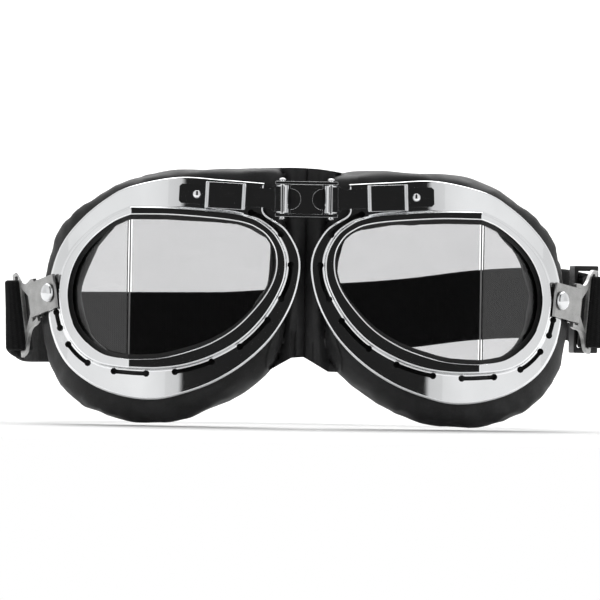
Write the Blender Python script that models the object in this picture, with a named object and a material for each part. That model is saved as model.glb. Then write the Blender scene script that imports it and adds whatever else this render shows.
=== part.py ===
"""Split-lens motorcycle goggles: two padded chrome eye frames, an adjustable nose link and an elastic strap.

Lengths are in millimetres, and the mesh helpers turn them into metres. The goggles face -Y, the eye on the
right as seen from the front is at +X, and +Z is up. Both cushions stand on Z = 0.
"""

import math

import bmesh
import bpy
from mathutils import Matrix, Vector
from mathutils.geometry import tessellate_polygon

MM = 0.001
GAP = 0.35  # between neighbouring pieces
CENTRE_X, CENTRE_Y = -0.18, 67.82  # the middle of the whole object, strap included

# eye frame
SPLIT_X = 59.0  # the upright line where the front pane meets the side pane
SIDE_SLOPE = 0.78  # the side pane turns back by 38 degrees
RIM_HEIGHT = 3.0
SHEET = 0.9
LIP = 1.7
VENT_HALF, VENT_END_R, VENT_OUT, VENT_FINE = 0.72, 1.15, 1.5, 8
STEPS = 2  # curve pieces between two outline points

# lens stack, as depths behind the rim's face
GASKET_Y = (2.5, 3.3)
LENS_Y = (3.6, 5.4)
RETAINER_Y = (5.7, 7.7)

# nose link and slide strips
PIN_X, PIN_Y = 8.15, -3.0
LINK_Z, LINK_HEIGHT = 76.7, 11.9
LINK_HALF_LENGTH, WEB_HALF_LENGTH = 10.5, 5.6
LINK_SHEET = 1.0
LINK_FRONT, LINK_BACK = -5.6, -0.8
CUTOUT_R = 3.5
PIN_R, PIN_HOLE_R, KNUCKLE_R = 0.85, 1.2, 2.1
KNUCKLE_HEIGHT = 9.2
STRIP_RISE = math.radians(2.4)
STRIP_HALF, STRIP_END = 3.25, 34.7
STRIP_Y = (-1.5, -0.6)
STOP_AT = 28.7
KEEPER_FROM = 12.4

# temple: rivet, bracket and buckle
RIVET_X, RIVET_Z = 85.6, 44.0
BRACKET_TURN = math.radians(55)
BRACKET_HALF, BRACKET_SHEET = 5.8, 1.2
BRACKET_IN, FOLD_AT = 3.4, 11.3
FOLD_R = 1.75
RIVET_R, SHANK_R, SHANK_HOLE_R = 3.2, 1.35, 1.75
BUCKLE_TURN = math.radians(65)
BUCKLE_SHEET = 1.2
STRAP_BAR_AT, STRAP_BAR_HALF = 15.3, 1.0
LAYER_OUT, LAYER_JOIN = 2.5, 1.2
ADJUSTER_Y = 72
SWIVEL_REST = {-1: math.radians(13), 1: math.radians(8)}

# strap
STRAP_WIDTH, STRAP_THICK = 24.5, 2.0

# Outlines of one eye, clockwise from the top of the lens split, as (x, z). Points with the same place in each
# list lie side by side on the frame.
FLANGE = [
    (59.5, 80.2), (67.8, 75.8), (76.0, 69.0), (82.4, 60.8), (86.0, 51.0), (87.2, 40.5), (85.4, 29.6),
    (80.0, 19.8), (71.0, 13.0), (60.5, 9.4), (50.0, 8.6), (40.5, 10.7), (30.0, 14.8), (19.8, 21.3),
    (11.2, 29.6), (5.2, 39.3), (2.1, 49.0), (2.0, 58.0), (6.6, 66.6), (13.6, 71.4), (14.3, 74.0),
    (14.2, 82.0), (28.5, 82.9), (43.5, 83.5),
]
RIM = [
    (SPLIT_X, 73.3), (66.0, 70.1), (73.2, 64.6), (79.0, 58.0), (82.2, 50.6), (83.0, 41.5), (80.8, 31.6),
    (75.6, 24.3), (68.4, 20.3), (SPLIT_X, 19.1), (49.5, 19.0), (40.0, 20.3), (30.5, 23.6), (21.5, 28.9),
    (14.4, 36.0), (9.4, 43.9), (6.8, 51.0), (6.9, 58.2), (10.2, 64.8), (15.0, 68.8), (19.0, 70.5),
    (25.0, 71.8), (34.0, 72.6), (46.0, 73.2),
]
OPENING = [
    (SPLIT_X, 70.6), (64.5, 68.3), (71.0, 63.4), (76.2, 57.2), (79.3, 49.9), (80.0, 42.0), (77.9, 33.6),
    (73.0, 27.3), (67.0, 23.5), (SPLIT_X, 22.2), (49.0, 22.6), (40.0, 24.8), (31.5, 28.1), (23.5, 33.2),
    (17.0, 39.8), (12.3, 46.4), (10.1, 52.6), (10.3, 59.0), (13.0, 64.0), (16.8, 66.8), (20.3, 68.2),
    (25.8, 69.2), (34.3, 70.0), (46.4, 70.7),
]
CUSHION = [
    (61.0, 83.0), (70.0, 78.2), (78.6, 70.6), (85.0, 61.0), (88.4, 50.0), (89.6, 38.0), (88.2, 24.0),
    (82.5, 11.8), (71.5, 3.6), (60.0, 0.0), (50.0, 0.0), (40.0, 1.6), (29.0, 6.0), (18.5, 12.6),
    (10.0, 19.6), (5.2, 29.0), (4.9, 42.0), (4.9, 56.0), (4.9, 70.0), (5.0, 79.5), (7.4, 85.8),
    (17.0, 87.0), (30.0, 87.2), (46.0, 86.4),
]
SPLIT_TOP, SPLIT_BOTTOM = 0, 9
FLANGE_CORNERS = (20, 21)
VENTS = [  # where each slot starts and ends, counted in outline points
    (5.4, 5.95), (6.5, 7.45), (8.5, 9.6), (10.6, 11.9), (12.9, 14.2), (15.0, 16.5), (17.9, 20.0),
]

MATERIALS = {  # colour, metallic, roughness
    "chrome": ((0.85, 0.86, 0.88), 1.0, 0.06),
    "satin_steel": ((0.62, 0.62, 0.60), 1.0, 0.35),
    "lens": ((0.62, 0.64, 0.66), 0.0, 0.03),
    "rubber": ((0.02, 0.02, 0.02), 0.0, 0.6),
    "black_plastic": ((0.03, 0.03, 0.03), 0.0, 0.45),
    "leather": ((0.03, 0.03, 0.03), 0.0, 0.5),
    "foam": ((0.12, 0.12, 0.12), 0.0, 0.95),
    "webbing": ((0.015, 0.015, 0.015), 0.0, 0.9),
}

for old in list(bpy.data.objects):
    bpy.data.objects.remove(old)

bodies = {}


# ---------------------------------------------------------------- helpers

def body_empty(name, pivot, parent=None):
    """An empty on a body's joint axis. Everything in that body is parented to it."""
    empty = bpy.data.objects.new(name, None)
    bpy.context.scene.collection.objects.link(empty)
    empty["pivot"] = list(pivot)
    base = Vector(parent["pivot"]) if parent else Vector((CENTRE_X, CENTRE_Y, 0))
    empty.location = (Vector(pivot) - base) * MM
    empty.parent = parent
    bodies[name] = empty
    return empty


def material(name):
    made = bpy.data.materials.get(name)
    if made is None:
        colour, metallic, roughness = MATERIALS[name]
        made = bpy.data.materials.new(name)
        made.use_nodes = True
        shader = made.node_tree.nodes["Principled BSDF"]
        shader.inputs["Base Color"].default_value = (*colour, 1)
        shader.inputs["Metallic"].default_value = metallic
        shader.inputs["Roughness"].default_value = roughness
    return made


def add(name, bm, body, finish, smooth=30):
    """Turns a bmesh in millimetres into a named object on that body."""
    pivot = Vector(bodies[body]["pivot"])
    bmesh.ops.recalc_face_normals(bm, faces=bm.faces)
    bmesh.ops.transform(bm, matrix=Matrix.Scale(MM, 4) @ Matrix.Translation(-pivot), verts=bm.verts)
    mesh = bpy.data.meshes.new(name)
    bm.to_mesh(mesh)
    bm.free()
    mesh.shade_smooth()
    mesh.set_sharp_from_angle(angle=math.radians(smooth))
    obj = bpy.data.objects.new(name, mesh)
    bpy.context.scene.collection.objects.link(obj)
    obj.parent = bodies[body]
    mesh.materials.append(material(finish))
    return obj


def combine(obj, bm, body, operation="DIFFERENCE"):
    """Cuts a shape out of an object, or joins it on."""
    tool = add(f"{obj.name}_tool", bm, body, "black_plastic")
    tool.hide_render = True
    tool.display_type = "WIRE"
    step = obj.modifiers.new(tool.name, "BOOLEAN")
    step.operation = operation
    step.object = tool


def curve(points, corners=(), steps=STEPS):
    """A closed smooth curve through the points. It keeps a corner where one is named."""
    count, made = len(points), []
    for i in range(count):
        a, b, c, d = (Vector(points[(i + k) % count]) for k in (-1, 0, 1, 2))
        out = Vector((0, 0)) if i in corners else (c - a) / 2
        into = Vector((0, 0)) if (i + 1) % count in corners else (d - b) / 2
        for k in range(steps):
            t = k / steps
            made.append(
                b * (2 * t**3 - 3 * t**2 + 1) + out * (t**3 - 2 * t**2 + t)
                + c * (3 * t**2 - 2 * t**3) + into * (t**3 - t**2)
            )
    return made


def offset(line, distance):
    """A closed clockwise curve moved outward by a distance, or inward if it is negative."""
    count, made = len(line), []
    for i, p in enumerate(line):
        along = (line[(i + 1) % count] - line[i - 1]).normalized()
        made.append(p + Vector((-along.y, along.x)) * distance)
    return made


def mix(a, b, share):
    return [p.lerp(q, share) for p, q in zip(a, b)]


def ramp(value, low, high):
    """The integral of a slope that grows smoothly from 0 at low to 1 at high."""
    t = min(max((value - low) / (high - low), 0), 1)
    return (high - low) * (t**3 - t**4 / 2) + max(value - high, 0)


def rim_y(x):
    """Depth of the rim's face: flat in front, turned back beyond the split."""
    return SIDE_SLOPE * max(x - SPLIT_X, 0) - RIM_HEIGHT


def flange_y(x):
    """Depth of the flange's front: it bends smoothly round to the temple, and a little at the nose."""
    temple = 0.72 * max(x - 80, 0) ** 2 / 14.4
    nose = 0.006 * max(16 - x, 0) ** 2
    return SIDE_SLOPE * ramp(x, 28, 88) + temple + nose


def flange_slope(x):
    return (flange_y(x + 0.01) - flange_y(x - 0.01)) / 0.02


def back_of_flange(x, thickness):
    """The depth that is this far behind the flange's front, measured square to the sheet."""
    return flange_y(x) + thickness * math.hypot(1, flange_slope(x))


def face_y(x):
    """Depth of the cushion's face side, which wraps round the head."""
    return 25 + 19 * (max(x - 35, 0) / 53) ** 2 + 3 * (max(35 - x, 0) / 30) ** 2


def level(line, depth, extra=0.0, side=1):
    """Points of an (x, z) line at depth(x) + extra, mirrored for side -1."""
    return [Vector((side * p.x, depth(p.x) + extra, p.y)) for p in line]


def ring(rows):
    """A closed tube whose cross-section runs through the rows, each of which is a closed loop."""
    bm = bmesh.new()
    loops = [[bm.verts.new(p) for p in row] for row in rows]
    for a, b in zip(loops, loops[1:] + loops[:1]):
        for i in range(len(a)):
            j = (i + 1) % len(a)
            bm.faces.new((a[i], a[j], b[j], b[i]))
    return bm


def stack(sections):
    """A solid through closed sections with the same number of points, closed by a cap at each end."""
    bm = bmesh.new()
    loops = [[bm.verts.new(p) for p in section] for section in sections]
    for a, b in zip(loops, loops[1:]):
        for i in range(len(a)):
            j = (i + 1) % len(a)
            bm.faces.new((a[i], a[j], b[j], b[i]))
    for loop in (loops[0], loops[-1]):
        for tri in tessellate_polygon([[v.co for v in loop]]):
            bm.faces.new([loop[k] for k in tri])
    return bm


def plate(outline, holes, low, high, place):
    """A flat plate with holes. place(u, v, w) gives the point for (u, v) in its plane at height w."""
    bm = bmesh.new()
    sheets = [
        [[bm.verts.new(place(u, v, w)) for u, v in loop] for loop in (outline, *holes)] for w in (low, high)
    ]
    flat = [[Vector((u, v, 0)) for u, v in loop] for loop in (outline, *holes)]
    for sheet in sheets:
        verts = [v for loop in sheet for v in loop]
        for tri in tessellate_polygon(flat):
            bm.faces.new([verts[k] for k in tri])
    for a, b in zip(*sheets):
        for i in range(len(a)):
            j = (i + 1) % len(a)
            bm.faces.new((a[i], a[j], b[j], b[i]))
    return bm


def circle(u, v, radius, count=16, start=0.0):
    angles = [start + math.tau * k / count for k in range(count)]
    return [(u + radius * math.cos(angle), v + radius * math.sin(angle)) for angle in angles]


def turned(profile, centre, axis, count=20):
    """A solid turned about an axis. The profile is (radius, height) from one end on the axis to the other."""
    turn = Vector((0, 0, 1)).rotation_difference(Vector(axis)).to_matrix()
    bm = bmesh.new()
    rings = []
    for radius, height in profile:
        if radius == 0:
            rings.append([bm.verts.new(Vector(centre) + turn @ Vector((0, 0, height)))])
            continue
        edge = [Vector(centre) + turn @ Vector((u, v, height)) for u, v in circle(0, 0, radius, count)]
        rings.append([bm.verts.new(p) for p in edge])
    for a, b in zip(rings, rings[1:]):
        for i in range(count):
            j = (i + 1) % count
            quad = [a[i % len(a)], a[j % len(a)], b[j % len(b)], b[i % len(b)]]
            bm.faces.new(list(dict.fromkeys(quad)))
    return bm


def cylinder(centre, axis, radius, low, high, count=20):
    return turned([(0, low), (radius, low), (radius, high), (0, high)], centre, axis, count)


def thick_line(path, thickness):
    """The closed outline of a bent strip: the path moved to both sides."""
    left, right = [], []
    for i, p in enumerate(path):
        along = (path[min(i + 1, len(path) - 1)] - path[max(i - 1, 0)]).normalized()
        side = Vector((-along.y, along.x)) * thickness / 2
        left.append(tuple(p + side))
        right.append(tuple(p - side))
    return left + right[::-1]


def dog_bone(path):
    """The outline of a narrow slot along the path with a round hole at each end."""
    outline = []
    for line in (path, path[::-1]):
        along = math.atan2(line[1].y - line[0].y, line[1].x - line[0].x)
        neck = math.asin(VENT_HALF / VENT_END_R)
        for step in range(8):
            angle = along + neck + (math.tau - 2 * neck) * step / 7
            end = line[0] + Vector((math.cos(angle), math.sin(angle))) * VENT_END_R
            outline.append(tuple(end))
        side = Vector((math.sin(along), -math.cos(along))) * VENT_HALF
        outline += [tuple(p + side) for p in line[1:-1]]
    return outline


def side_name(side):
    return "right" if side > 0 else "left"


# ---------------------------------------------------------------- the eye

flange_line = curve(FLANGE, FLANGE_CORNERS)
rim_line = curve(RIM, (SPLIT_TOP, SPLIT_BOTTOM))
opening_line = curve(OPENING, (SPLIT_TOP, SPLIT_BOTTOM))
cushion_line = [Vector((p.x, max(p.y, 0))) for p in curve(CUSHION)]


def eye_frame(side):
    """One chromed pressing: a curved flange, a raised creased rim round the lenses, and vent slots."""
    body = f"eye_{side_name(side)}"
    wall = offset(rim_line, -SHEET)
    seat = offset(opening_line, SHEET)
    inner = offset(flange_line, -SHEET)
    behind = lambda x: back_of_flange(x, SHEET)
    obj = add(
        f"eye_frame_{side_name(side)}",
        ring([
            level(flange_line, flange_y, LIP, side),
            level(flange_line, flange_y, 0.5, side),
            level(offset(flange_line, -0.5), flange_y, 0, side),
            level(offset(rim_line, 0.3), flange_y, 0, side),
            level(rim_line, flange_y, -0.4, side),
            level(rim_line, rim_y, 0.5, side),
            level(offset(rim_line, -0.5), rim_y, 0, side),
            level(offset(opening_line, 0.5), rim_y, 0, side),
            level(opening_line, rim_y, 0.5, side),
            level(opening_line, rim_y, GASKET_Y[0] - GAP, side),
            level(seat, rim_y, GASKET_Y[0] - GAP, side),
            level(mix(seat, wall, 0.1), rim_y, SHEET, side),
            level(wall, rim_y, SHEET, side),
            level(wall, behind, 0, side),
            level(inner, behind, 0, side),
            level(inner, flange_y, LIP + 0.6, side),
        ]),
        body,
        "chrome",
    )
    foot = offset(curve(RIM, (), VENT_FINE), VENT_OUT)
    for start, end in VENTS:
        last = round((end - start) * VENT_FINE)
        line = [foot[round(start * VENT_FINE) + k] for k in range(last + 1)]
        outline = dog_bone([line[0], *line[2:-2:3], line[-1]])
        low = min(flange_y(u) for u, _ in outline) - 1.5
        high = max(back_of_flange(u, SHEET) for u, _ in outline) + 1.5
        combine(obj, plate(outline, [], low, high, lambda u, v, w: Vector((side * u, w, v))), body)
    combine(obj, cylinder(rivet_point(side), rivet_axis(side), SHANK_HOLE_R, -6, 3, 16), body)
    return obj


def lens_outline(side_pane):
    """Edge of one pane in (x, z). It stops short of the post at the split."""
    line = offset(opening_line, 0.8)
    last = SPLIT_BOTTOM * STEPS
    reach = 0.6
    if side_pane:
        points = [(SPLIT_X + reach, line[0].y), *line[1:last], (SPLIT_X + reach, line[last].y)]
    else:
        points = [(SPLIT_X - reach, line[last].y), *line[last + 1:], (SPLIT_X - reach, line[0].y)]
    return [tuple(p) for p in points]


def eye(side):
    name = side_name(side)
    body = f"eye_{name}"
    eye_frame(side)

    def stacked(label, outer, inner, depths, finish):
        rows = [level(outer, rim_y, depths[0], side), level(outer, rim_y, depths[1], side),
                level(inner, rim_y, depths[1], side), level(inner, rim_y, depths[0], side)]
        add(f"{label}_{name}", ring(rows), body, finish)

    narrow, broad = offset(opening_line, -0.5), offset(opening_line, -1.5)
    lip = [p.lerp(q, min(max((q.x - 14) / 26, 0), 1)) for p, q in zip(narrow, broad)]
    stacked("lens_gasket", offset(opening_line, 0.7), lip, GASKET_Y, "rubber")
    stacked("lens_retainer", offset(rim_line, -1.3), offset(opening_line, -0.6), RETAINER_Y, "black_plastic")
    for label, is_side in (("front_lens", False), ("side_lens", True)):
        place = lambda u, v, w: Vector((side * u, rim_y(u) + w, v))
        add(f"{label}_{name}", plate(lens_outline(is_side), [], *LENS_Y, place), body, "lens")
    low, high = (offset(opening_line, 0.5)[k * STEPS].y for k in (SPLIT_BOTTOM, SPLIT_TOP))
    post = [(SPLIT_X - 0.25, 0.7), (SPLIT_X + 0.25, 0.7), (SPLIT_X + 0.25, 2.3), (SPLIT_X - 0.25, 2.3)]
    bar = plate(post, [], low, high, lambda u, v, w: Vector((side * u, v, w)))
    add(f"lens_post_{name}", bar, body, "satin_steel")
    cushion(side)
    slide_keeper(side)
    tip = SHEET + 0.7
    rivet = [(0, -tip), (SHANK_R + 0.6, -tip), (SHANK_R + 0.6, -SHEET - 0.35), (SHANK_R, -SHEET - 0.35),
             (SHANK_R, BRACKET_SHEET + 2 * GAP), (RIVET_R, BRACKET_SHEET + 2 * GAP), (RIVET_R * 0.93, 2.7),
             (RIVET_R * 0.7, 3.2), (RIVET_R * 0.35, 3.5), (0, 3.6)]
    add(f"bracket_rivet_{name}", turned(rivet, rivet_point(side), rivet_axis(side), 20), body, "satin_steel")


def cushion_rows(side, inset):
    """Cross-section of the cushion from its front outer edge round the face side to its front inner edge."""
    front = lambda x: back_of_flange(x, 2.1)

    def at(share):
        return lambda x: front(x) + (face_y(x) - inset - front(x)) * share

    def clear_of_nose(line, depth):
        """The cushions leave room for the nose, and swing in there as the goggles wrap."""
        return [Vector((max(p.x, 5.0 + inset + 0.235 * max(depth(p.x) - 4, 0)), p.y)) for p in line]

    outer = offset(cushion_line, -inset)
    hole = offset(opening_line, -1.6)
    hole = [Vector((min(p.x, 60 + (p.x - 60) * 0.75), p.y)) for p in hole]
    inner = offset(hole, inset)
    lines = [
        (mix(offset(flange_line, -1.5), outer, 0.0 if inset == 0 else 0.12 * inset), at(0.02)),
        (mix(flange_line, outer, 0.8), at(0.1)),
        (outer, at(0.3)),
        (outer, at(0.62)),
        (mix(outer, inner, 0.12), at(0.9)),
        (mix(outer, inner, 0.4), at(1.0)),
        (mix(outer, inner, 0.72), at(0.96)),
        (inner, at(0.78)),
        (inner, lambda x: rim_y(x) + RETAINER_Y[1] + 0.5),
    ]
    return [level(clear_of_nose(line, depth), depth, 0, side) for line, depth in lines]


def cushion(side):
    """A leather cover open towards the frame, and the foam ring inside it."""
    name = side_name(side)
    body = f"eye_{name}"
    cover = cushion_rows(side, 0) + cushion_rows(side, 1.2)[::-1]
    add(f"cushion_cover_{name}", ring(cover), body, "leather", 60)
    foam = cushion_rows(side, 1.8)
    clear = lambda x: max(rim_y(x) + RETAINER_Y[1] + 0.9, back_of_flange(x, SHEET + 0.8))
    room = level(offset(rim_line, -0.6), clear, 0, side)
    add(f"foam_pad_{name}", ring(foam + [room]), body, "foam")


# ---------------------------------------------------------------- nose link and slides

def along_strip(side, at, up, depth):
    """A point on the slide strip's line, which leaves the pin and rises a little towards the temple."""
    x = PIN_X + at * math.cos(STRIP_RISE) - up * math.sin(STRIP_RISE)
    z = LINK_Z + at * math.sin(STRIP_RISE) + up * math.cos(STRIP_RISE)
    return Vector((side * x, depth, z))


def nose_link():
    """A folded channel: a web with two round cut-outs, and rails above and below that hold the pins."""
    half = LINK_HEIGHT / 2
    section = [(LINK_BACK, -half), (LINK_FRONT, -half), (LINK_FRONT, LINK_SHEET - half),
               (LINK_BACK - LINK_SHEET, LINK_SHEET - half), (LINK_BACK - LINK_SHEET, half - LINK_SHEET),
               (LINK_FRONT, half - LINK_SHEET), (LINK_FRONT, half), (LINK_BACK, half)]
    ends = (-LINK_HALF_LENGTH, LINK_HALF_LENGTH)
    rows = [[Vector((x, y, LINK_Z + z)) for y, z in section] for x in ends]
    obj = add("nose_link", stack(rows), "nose", "chrome")
    for side in (-1, 1):
        low, high = half - LINK_SHEET, LINK_SHEET - half
        notch = [(WEB_HALF_LENGTH, high), (12, high), (12, low), (WEB_HALF_LENGTH, low)]
        place = lambda u, v, w: Vector((side * u, w, LINK_Z + v))
        combine(obj, plate(notch, [], LINK_BACK - LINK_SHEET - 0.5, 1, place), "nose")
        combine(obj, cylinder((side * WEB_HALF_LENGTH, 0, LINK_Z), (0, 1, 0), CUTOUT_R, -3, 3), "nose")
        combine(obj, cylinder((side * PIN_X, PIN_Y, LINK_Z), (0, 0, 1), PIN_HOLE_R, -8, 8, 16), "nose")
        top = LINK_HEIGHT / 2 + 0.3
        pin = [(0, -top - 0.8), (1.5, -top - 0.8), (1.5, -top), (PIN_R, -top), (PIN_R, top), (1.5, top),
               (1.5, top + 0.5), (0.8, top + 1.0), (0, top + 1.0)]
        centre = (side * PIN_X, PIN_Y, LINK_Z)
        add(f"hinge_pin_{side_name(side)}", turned(pin, centre, (0, 0, 1), 16), "nose", "chrome")


def nose_gusset():
    """The soft leather web between the cushions, behind the link and the flanges."""
    outline = [(-2.2, 26), (2.2, 26), (2.4, 40), (2.2, 60), (2.4, 80), (2.0, 86), (-2.0, 86), (-2.4, 80),
               (-2.2, 60), (-2.4, 40)]
    add("nose_gusset", plate(outline, [], 4.8, 9.5, lambda u, v, w: Vector((u, w, v))), "nose", "leather")


def slide_strip(side):
    """A flat strip whose inner end is rolled round the hinge pin."""
    name = side_name(side)
    body = f"strip_{name}"
    knuckle = plate(circle(PIN_X, PIN_Y, KNUCKLE_R, 20), [circle(PIN_X, PIN_Y, PIN_HOLE_R, 20)],
                    LINK_Z - KNUCKLE_HEIGHT / 2, LINK_Z + KNUCKLE_HEIGHT / 2,
                    lambda u, v, w: Vector((side * u, v, w)))
    obj = add(f"slide_strip_{name}", knuckle, body, "chrome")
    wide = KNUCKLE_HEIGHT / 2 - 0.2
    half = [(0, wide), (2.6, wide), (4.6, STRIP_HALF)]
    half += [(STRIP_END - 0.8, STRIP_HALF), (STRIP_END, STRIP_HALF - 0.8)]
    outline = half + [(u, -v) for u, v in reversed(half)]
    hole = circle(STOP_AT, 0, 0.9, 12)
    tail = plate(outline, [hole], *STRIP_Y, lambda u, v, w: along_strip(side, u, v, w))
    combine(obj, tail, body, "UNION")
    dome = [(0, -0.75), (0.55, -0.75), (0.55, GAP), (1.35, GAP), (1.2, 0.65), (0.7, 0.86), (0, 0.9)]
    centre = along_strip(side, STOP_AT, 0, STRIP_Y[0])
    add(f"stop_rivet_{name}", turned(dome, centre, (0, -1, 0), 16), body, "chrome")


def slide_keeper(side):
    """The loop on the flange that the strip slides in, with a raised rib at each end."""
    sections = []
    for at, rise in ((0, 0.5), (1.4, 0.5), (1.7, 0), (11.8, 0), (12.1, 0.5), (13.5, 0.5)):
        out, top, leg, roof = 4.4, -3.5 - rise, 3.62, -3.5 + 0.85
        shape = [(-out, -GAP), (-out, top), (out, top), (out, -GAP),
                 (leg, -GAP), (leg, roof), (-leg, roof), (-leg, -GAP)]
        sections.append([along_strip(side, KEEPER_FROM + at, up, depth) for up, depth in shape])
    add(f"slide_keeper_{side_name(side)}", stack(sections), f"eye_{side_name(side)}", "chrome")


# ---------------------------------------------------------------- temple

def rivet_axis(side):
    return Vector((side * math.sin(BRACKET_TURN), -math.cos(BRACKET_TURN), 0))


def rivet_point(side):
    """The middle of the rivet on the flange's front."""
    return Vector((side * RIVET_X, flange_y(RIVET_X), RIVET_Z))


def swivelled(side, point):
    """A point of the bracket and buckle, turned about the rivet to where the strap pulls them."""
    turn = Matrix.Rotation(SWIVEL_REST[side] * -side, 3, rivet_axis(side))
    centre = rivet_point(side)
    return centre + turn @ (point - centre)


def fold_bar(side):
    """The middle of the bar that the bracket's outer end is folded round, before the swivel."""
    lift = GAP + BRACKET_SHEET / 2
    along = Vector((side * math.cos(BRACKET_TURN), math.sin(BRACKET_TURN), 0))
    return rivet_point(side) + along * FOLD_AT + rivet_axis(side) * (lift - FOLD_R)


def strap_bracket(side):
    """A steel plate on the temple's rivet, folded round the buckle's inner bar."""
    name = side_name(side)
    start = rivet_point(1)
    along = Vector((math.cos(BRACKET_TURN), math.sin(BRACKET_TURN)))
    out = Vector((math.sin(BRACKET_TURN), -math.cos(BRACKET_TURN)))
    middle = Vector((start.x, start.y)) + out * (GAP + BRACKET_SHEET / 2)
    bar = fold_bar(1)
    centre = Vector((bar.x, bar.y))
    path = [middle - along * BRACKET_IN, middle + along * (FOLD_AT - 1.5)]
    for step in range(9):
        angle = math.radians(90 - step * 30)
        path.append(centre + (along * math.cos(angle) + out * math.sin(angle)) * FOLD_R)
    outline = thick_line(path, BRACKET_SHEET * 0.8)
    place = lambda u, v, w: swivelled(side, Vector((side * u, v, RIVET_Z + w)))
    sheet = plate(outline, [], -BRACKET_HALF, BRACKET_HALF, place)
    obj = add(f"strap_bracket_{name}", sheet, f"bracket_{name}", "satin_steel")
    combine(obj, cylinder(rivet_point(side), rivet_axis(side), SHANK_HOLE_R, -2, 4, 16), f"bracket_{name}")


def on_buckle(side, reach, up, lift=0.0):
    """A point of the buckle's plate: reach from the fold bar, up along it, lift off its outer face."""
    along = Vector((side * math.cos(BUCKLE_TURN), math.sin(BUCKLE_TURN), 0))
    out = Vector((side * math.sin(BUCKLE_TURN), -math.cos(BUCKLE_TURN), 0))
    return swivelled(side, fold_bar(side) + along * reach + out * lift + Vector((0, 0, up)))


def strap_buckle(side):
    """A flat spread buckle: ears beside the fold, a middle window, a slim bar and the strap's slot."""
    bar = (STRAP_BAR_AT - STRAP_BAR_HALF, STRAP_BAR_AT + STRAP_BAR_HALF)
    half = [(-0.7, 7.6), (2.4, 8.6), (6.0, 9.4), (9.6, 12.6), (12.6, 14.4), (bar[1], 14.4)]
    outline = half + [(u, -v) for u, v in reversed(half)]
    holes = [
        [(0.7, -6.3), (0.7, 6.3), (3.6, 6.3), (3.6, -6.3)],
        [(5.0, -4.4), (5.0, 4.4), (9.3, 8.2), (9.3, -8.2)],
        [(10.2, -11.0), (10.2, 11.0), (11.6, 13.0), (bar[0], 13.0), (bar[0], -13.0), (11.6, -13.0)],
    ]
    place = lambda u, v, w: on_buckle(side, u, v, w)
    name = side_name(side)
    sheet = plate(outline, holes, -BUCKLE_SHEET / 2, BUCKLE_SHEET / 2, place)
    add(f"strap_buckle_{name}", sheet, f"buckle_{name}", "satin_steel")


# ---------------------------------------------------------------- strap

# the middle of the strap's outer layer behind each buckle, as (x, y, z), to the half's end at the back
STRAP_ROUTE = {
    -1: [(99.4, 57, 35.6), (96.2, 75, 34.4), (89.5, 95, 34.2), (77.0, 115, 34.3), (58.0, 129.5, 34.5),
         (37.0, 136.4, 34.8), (18.0, 137.9, 35.2), (-22.0, 138.0, 36.2)],
    1: [(99.4, 57, 40.2), (96.2, 75, 41.4), (89.5, 95, 42.8), (77.0, 115, 43.2), (58.0, 129.5, 41.9),
        (37.0, 136.4, 39.0), (18.0, 137.9, 37.2), (-10.0, 138.0, 35.6)],
}
LAYER = {-1: 2.2, 1: -2.2}
INNER_END = {-1: 80.0, 1: 84.0}


def smooth_route(points, steps=4):
    """A smooth open line through the points."""
    made, last = [], len(points) - 1
    for i in range(last):
        a, b, c, d = (Vector(points[min(max(i + k, 0), last)]) for k in (-1, 0, 1, 2))
        for k in range(steps):
            t = k / steps
            made.append(
                b * (2 * t**3 - 3 * t**2 + 1) + (c - a) / 2 * (t**3 - 2 * t**2 + t)
                + c * (3 * t**2 - 2 * t**3) + (d - b) / 2 * (t**3 - t**2)
            )
    return made + [Vector(points[-1])]


def apart(y):
    """Distance between the strap's two layers: wide at the bar, close together behind it."""
    near = min(max((y - 50) / 14, 0), 1)
    return 2 * (LAYER_OUT + (LAYER_JOIN - LAYER_OUT) * near)


def strap_lines(side):
    """The outer layer's line from the bar back, the bar's middle, and its upright direction, for x > 0."""
    middle = on_buckle(side, STRAP_BAR_AT, 0)
    up = on_buckle(side, STRAP_BAR_AT, 1) - middle
    middle.x, up.x = side * middle.x, side * up.x
    first = Vector(STRAP_ROUTE[side][0])
    along = (first - middle).xy.normalized()
    start = middle + Vector((along.y, -along.x, 0)) * LAYER_OUT
    outer = smooth_route([start, *STRAP_ROUTE[side]])
    for p in outer:
        p.y += LAYER[side] * min(1, max(0, (90 - p.x) / 50))
    return outer, middle, up


def beside(line, i, distance):
    """The point of a line moved square to it, towards the head."""
    step = (line[min(i + 1, len(line) - 1)] - line[max(i - 1, 0)]).xy.normalized()
    return line[i] + Vector((-step.y, step.x, 0)) * distance


def strap(side):
    """Half of the elastic strap: from its end at the back, round the buckle's bar, and back along itself."""
    outer, middle, up = strap_lines(side)
    inner = [beside(outer, i, apart(p.y)) for i, p in enumerate(outer) if p.y < INNER_END[side]]
    along = (outer[1] - outer[0]).xy.normalized()
    turns = []
    for step in range(1, 6):
        angle = math.pi * step / 6
        out = Vector((along.y, -along.x)) * math.cos(angle) - along * math.sin(angle)
        turns.append(middle + Vector((out.x, out.y, 0)) * LAYER_OUT)
    path = outer[::-1] + turns + inner
    sections = []
    for i, p in enumerate(path):
        flat = (path[min(i + 1, len(path) - 1)] - path[max(i - 1, 0)]).xy.normalized()
        normal = Vector((-flat.y, flat.x, 0)) * STRAP_THICK / 2
        lean = up.lerp(Vector((0, 0, 1)), min(max((p.y - 52) / 26, 0), 1)).normalized()
        rise = lean * STRAP_WIDTH / 2
        corners = (p + normal + rise, p - normal + rise, p - normal - rise, p + normal - rise)
        sections.append([Vector((side * c.x, c.y, c.z)) for c in corners])
    add(f"strap_{side_name(side)}", stack(sections), f"buckle_{side_name(side)}", "webbing")


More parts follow.
